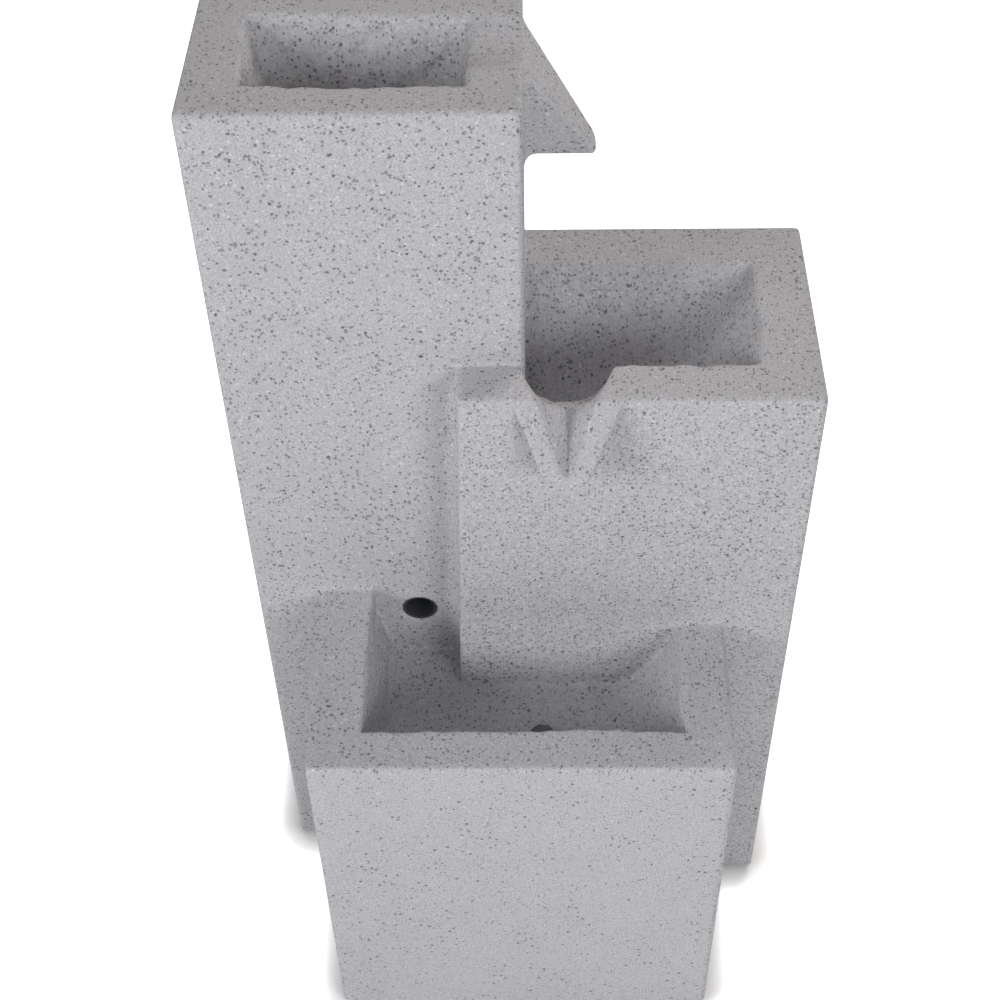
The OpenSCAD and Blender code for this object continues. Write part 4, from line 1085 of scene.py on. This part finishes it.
def rubber(name, base):
    """Matt rubber with a soft bloom of dust."""
    mat, tree, shader, at = new_material(name, Roughness=0.75)
    grain = place(tree, grain_group(), at, Scale=700.0, Detail=3.0)
    body = mottled(tree, grain["Tone"], base, 0.8, 1.3)
    feed(tree, lay(tree, body, grain["Patches"], 0.25, shade(base, 2.6)), shader.inputs["Base Color"])
    feed(tree, ramp(tree, grain["Tone"], 0.0, 1.0, 0.66, 0.84), shader.inputs["Roughness"])
    bump(tree, shader, grain["Height"], strength=0.35, distance=0.0003)
    return mat


def turned_metal(name, base, roughness):
    """Turned or drawn metal with fine lines and scratches."""
    mat, tree, shader, at = new_material(name, Metallic=1.0, Roughness=roughness)
    lines = place(tree, lines_group(), at, Stretch=(6.0, 6.0, 1.0))
    feed(tree, mottled(tree, lines["Lines"], base, 0.82, 1.1), shader.inputs["Base Color"])
    rough = ramp(tree, lines["Lines"], 0.0, 1.0, roughness - 0.08, roughness + 0.1)
    feed(tree, maths(tree, "MULTIPLY_ADD", lines["Scratches"], 0.15, rough), shader.inputs["Roughness"])
    bump(tree, shader, lines["Lines"], strength=0.15, distance=0.0001)
    return mat


def ceramic(name, base):
    """Polished ceramic with faint clouds."""
    mat, tree, shader, at = new_material(name, Roughness=0.15, Coat_Weight=0.4)
    grain = place(tree, grain_group(), at, Scale=900.0)
    feed(tree, mottled(tree, grain["Patches"], base, 0.94, 1.04), shader.inputs["Base Color"])
    feed(tree, ramp(tree, grain["Tone"], 0.0, 1.0, 0.1, 0.2), shader.inputs["Roughness"])
    return mat


def foam(name, base):
    """Open-cell filter foam, with painted shade in its pores: darker towards their middles."""
    mat, tree, shader, at = new_material(name, Roughness=0.95)
    walls = place(tree, pores_group(), at, Scale=720.0)["Walls"]
    # Painted shade: the pores' middles are laid far darker than their walls
    feed(tree, mottled(tree, walls, base, 0.15, 1.3), shader.inputs["Base Color"])
    bump(tree, shader, walls, strength=0.8, distance=0.0008)
    return mat


def milky_tube(name, base):
    """Milky flexible tube with flow lines."""
    mat, tree, shader, at = new_material(name, Roughness=0.3, IOR=1.42)
    shader.inputs["Transmission Weight"].default_value = 0.45
    lines = place(tree, lines_group(), at, Stretch=(8.0, 8.0, 0.6), Scale=120.0)
    feed(tree, mottled(tree, lines["Lines"], base, 0.9, 1.08), shader.inputs["Base Color"])
    feed(tree, ramp(tree, lines["Lines"], 0.0, 1.0, 0.22, 0.4), shader.inputs["Roughness"])
    return mat


def pressed_board(name, base):
    """Recycled board, pressed from flakes."""
    mat, tree, shader, at = new_material(name, Roughness=0.7)
    flakes = place(tree, chips_group(), at, Warp=swirl(tree, at, 200.0, 1.0), Scale=140.0, Size=0.45,
                   Dark_share=0.4, Pale_share=0.8, Ragged=0.01)
    grain = place(tree, grain_group(), at, Scale=500.0)
    body = mottled(tree, grain["Tone"], base, 0.8, 1.2)
    body = lay(tree, body, flakes["Dark"], 0.6, shade(base, 0.5))
    feed(tree, lay(tree, body, flakes["Pale"], 0.5, shade(base, 2.2)), shader.inputs["Base Color"])
    feed(tree, ramp(tree, grain["Tone"], 0.0, 1.0, 0.6, 0.8), shader.inputs["Roughness"])
    bump(tree, shader, grain["Height"], strength=0.3, distance=0.0005)
    return mat


# Stage


FLOOR_HALF = 6.0
LIGHTS_AIM = Vector((0, 0, 0.38))

# The photograph's camera, solved from the object's straight edges: its place, its lens on a 36 mm sensor,
# and how far it looks down, turns from the back and leans, in degrees
CAMERA_AT = (9.3 * MM, -815.4 * MM, 1313.4 * MM)
LENS = 62.335
LOOK_DOWN, TURN, LEAN = 46.925, -1.617, -1.418


class OBJECT_OT_fountain_stage(bpy.types.Operator):
    """Set the floor, the lights and the camera"""

    bl_idname = "fountain.stage"
    bl_label = "Stage"

    def execute(self, context):
        p = context.scene.fountain_stage
        scene = context.scene
        scene.view_settings.view_transform = "Standard"
        floor = bpy.data.objects.new("floor", bpy.data.meshes.new("floor"))
        corners = [(x * FLOOR_HALF, y * FLOOR_HALF, 0) for x, y in ((-1, -1), (1, -1), (1, 1), (-1, 1))]
        floor.data.from_pydata(corners, [], [(0, 1, 2, 3)])
        scene.collection.objects.link(floor)
        floor.data.materials.append(self.paper(p))
        self.world(scene, p)
        self.soft_box("left_box", (-1.8, -1.2, 1.3), size=1.0, power=p.left)
        self.soft_box("right_box", (1.35, -1.9, 1.45), size=1.0, power=p.right)
        self.soft_box("rear_box", (1.0, 1.8, 1.85), size=1.0, power=p.rear, tint=(1.0, 0.93, 0.88))
        self.soft_box("low_box", (0.0, -1.5, 1.05), size=0.7, power=p.low)
        self.soft_box("top_panel", (0.1, -0.1, 2.3), size=1.6, power=p.top, tint=(1.0, 0.95, 0.92))
        self.camera(scene)
        return {"FINISHED"}

    def seen(self, tree):
        """1 for rays that the camera sees, straight or in a gloss."""
        path = node(tree, "LightPath").outputs
        gloss = maths(tree, "MAXIMUM", path["Is Glossy Ray"], path["Is Transmission Ray"])
        return maths(tree, "MAXIMUM", path["Is Camera Ray"], gloss)

    def paper(self, p):
        """Pale paper that reads white to the camera. Its contact shadow is partly cast by the lights and
        partly painted: the lift to white fades where the fountain is near.
        """
        mat = bpy.data.materials.new("floor_paper")
        mat.use_nodes = True
        tree = mat.node_tree
        shader = tree.nodes["Principled BSDF"]
        shader.inputs["Base Color"].default_value = (0.93, 0.93, 0.93, 1)
        shader.inputs["Roughness"].default_value = 0.9
        shader.inputs["Specular IOR Level"].default_value = 0.0
        shader.inputs["Emission Color"].default_value = (1, 1, 1, 1)
        open_sky = node(tree, "AmbientOcclusion", samples=8, in_Distance=p.contact)
        away = maths(tree, "POWER", open_sky.outputs["AO"], 6.0)
        lift = maths(tree, "MULTIPLY", self.seen(tree), p.paper)
        # Painted shadow: the emission that lifts the paper to white fades near the fountain
        feed(tree, maths(tree, "MULTIPLY", away, lift), shader.inputs["Emission Strength"])
        return mat

    def world(self, scene, p):
        """Even room light, white where the camera sees it."""
        world = bpy.data.worlds.new("room")
        scene.world = world
        world.use_nodes = True
        tree = world.node_tree
        back = tree.nodes["Background"]
        back.inputs["Color"].default_value = (1, 1, 1, 1)
        feed(tree, ramp(tree, self.seen(tree), 0.0, 1.0, p.sky, 1.0), back.inputs["Strength"])

    def soft_box(self, name, at, size, power, tint=(1.0, 1.0, 1.0)):
        """A square soft light that faces the fountain."""
        data = bpy.data.lights.new(name, "AREA")
        data.shape = "SQUARE"
        data.size = size
        data.energy = power
        data.color = tint
        ob = bpy.data.objects.new(name, data)
        bpy.context.scene.collection.objects.link(ob)
        ob.location = at
        ob.rotation_euler = (LIGHTS_AIM - Vector(at)).to_track_quat("-Z", "Y").to_euler()

    def camera(self, scene):
        """The photograph's camera."""
        data = bpy.data.cameras.new("camera")
        data.sensor_width = 36
        data.lens = LENS
        data.clip_start, data.clip_end = 0.05, 50
        ob = bpy.data.objects.new("camera", data)
        scene.collection.objects.link(ob)
        pitch, yaw, roll = (math.radians(v) for v in (LOOK_DOWN, TURN, LEAN))
        ahead = Vector((math.sin(yaw) * math.cos(pitch), math.cos(yaw) * math.cos(pitch), -math.sin(pitch)))
        right = Vector((math.cos(yaw), -math.sin(yaw), 0))
        up = right.cross(ahead)
        side = right * math.cos(roll) + up * math.sin(roll)
        top = -right * math.sin(roll) + up * math.cos(roll)
        ob.matrix_world = Matrix((side, top, -ahead)).transposed().to_4x4()
        ob.location = CAMERA_AT
        scene.camera = ob


class VIEW3D_PT_fountain(bpy.types.Panel):
    """The fountain's pieces and sizes"""

    bl_idname = "VIEW3D_PT_fountain"
    bl_label = "Cascade Fountain"
    bl_space_type = "VIEW_3D"
    bl_region_type = "UI"
    bl_category = "Fountain"

    def draw(self, context):
        """Lists the sizes, colours and lights, and the operators."""
        layout = self.layout
        for name in ("fountain_shape", "fountain_colours", "fountain_stage"):
            box = layout.box()
            props = getattr(context.scene, name)
            for key in props.__annotations__:
                box.prop(props, key)
        for op in OPERATORS:
            layout.operator(op.bl_idname)


OPERATORS = (OBJECT_OT_fountain_castings, OBJECT_OT_fountain_door, OBJECT_OT_fountain_base,
             OBJECT_OT_fountain_pump, OBJECT_OT_fountain_plumbing, OBJECT_OT_fountain_stage)
GROUPS = {"fountain_shape": FountainShape, "fountain_colours": FountainColours,
          "fountain_stage": FountainStage}


def register():
    """Adds the add-on's classes and its properties on the scene."""
    for cls in (*GROUPS.values(), *OPERATORS, VIEW3D_PT_fountain):
        bpy.utils.register_class(cls)
    for name, cls in GROUPS.items():
        setattr(bpy.types.Scene, name, PointerProperty(type=cls))


def unregister():
    """Takes them away again."""
    for name in GROUPS:
        delattr(bpy.types.Scene, name)
    for cls in reversed((*GROUPS.values(), *OPERATORS, VIEW3D_PT_fountain)):
        bpy.utils.unregister_class(cls)


def main():
    """Builds the whole scene."""
    register()
    bpy.ops.fountain.castings()
    bpy.ops.fountain.door()
    bpy.ops.fountain.base()
    bpy.ops.fountain.pump()
    bpy.ops.fountain.plumbing()
    bpy.ops.fountain.stage()


if __name__ == "__main__":
    main()
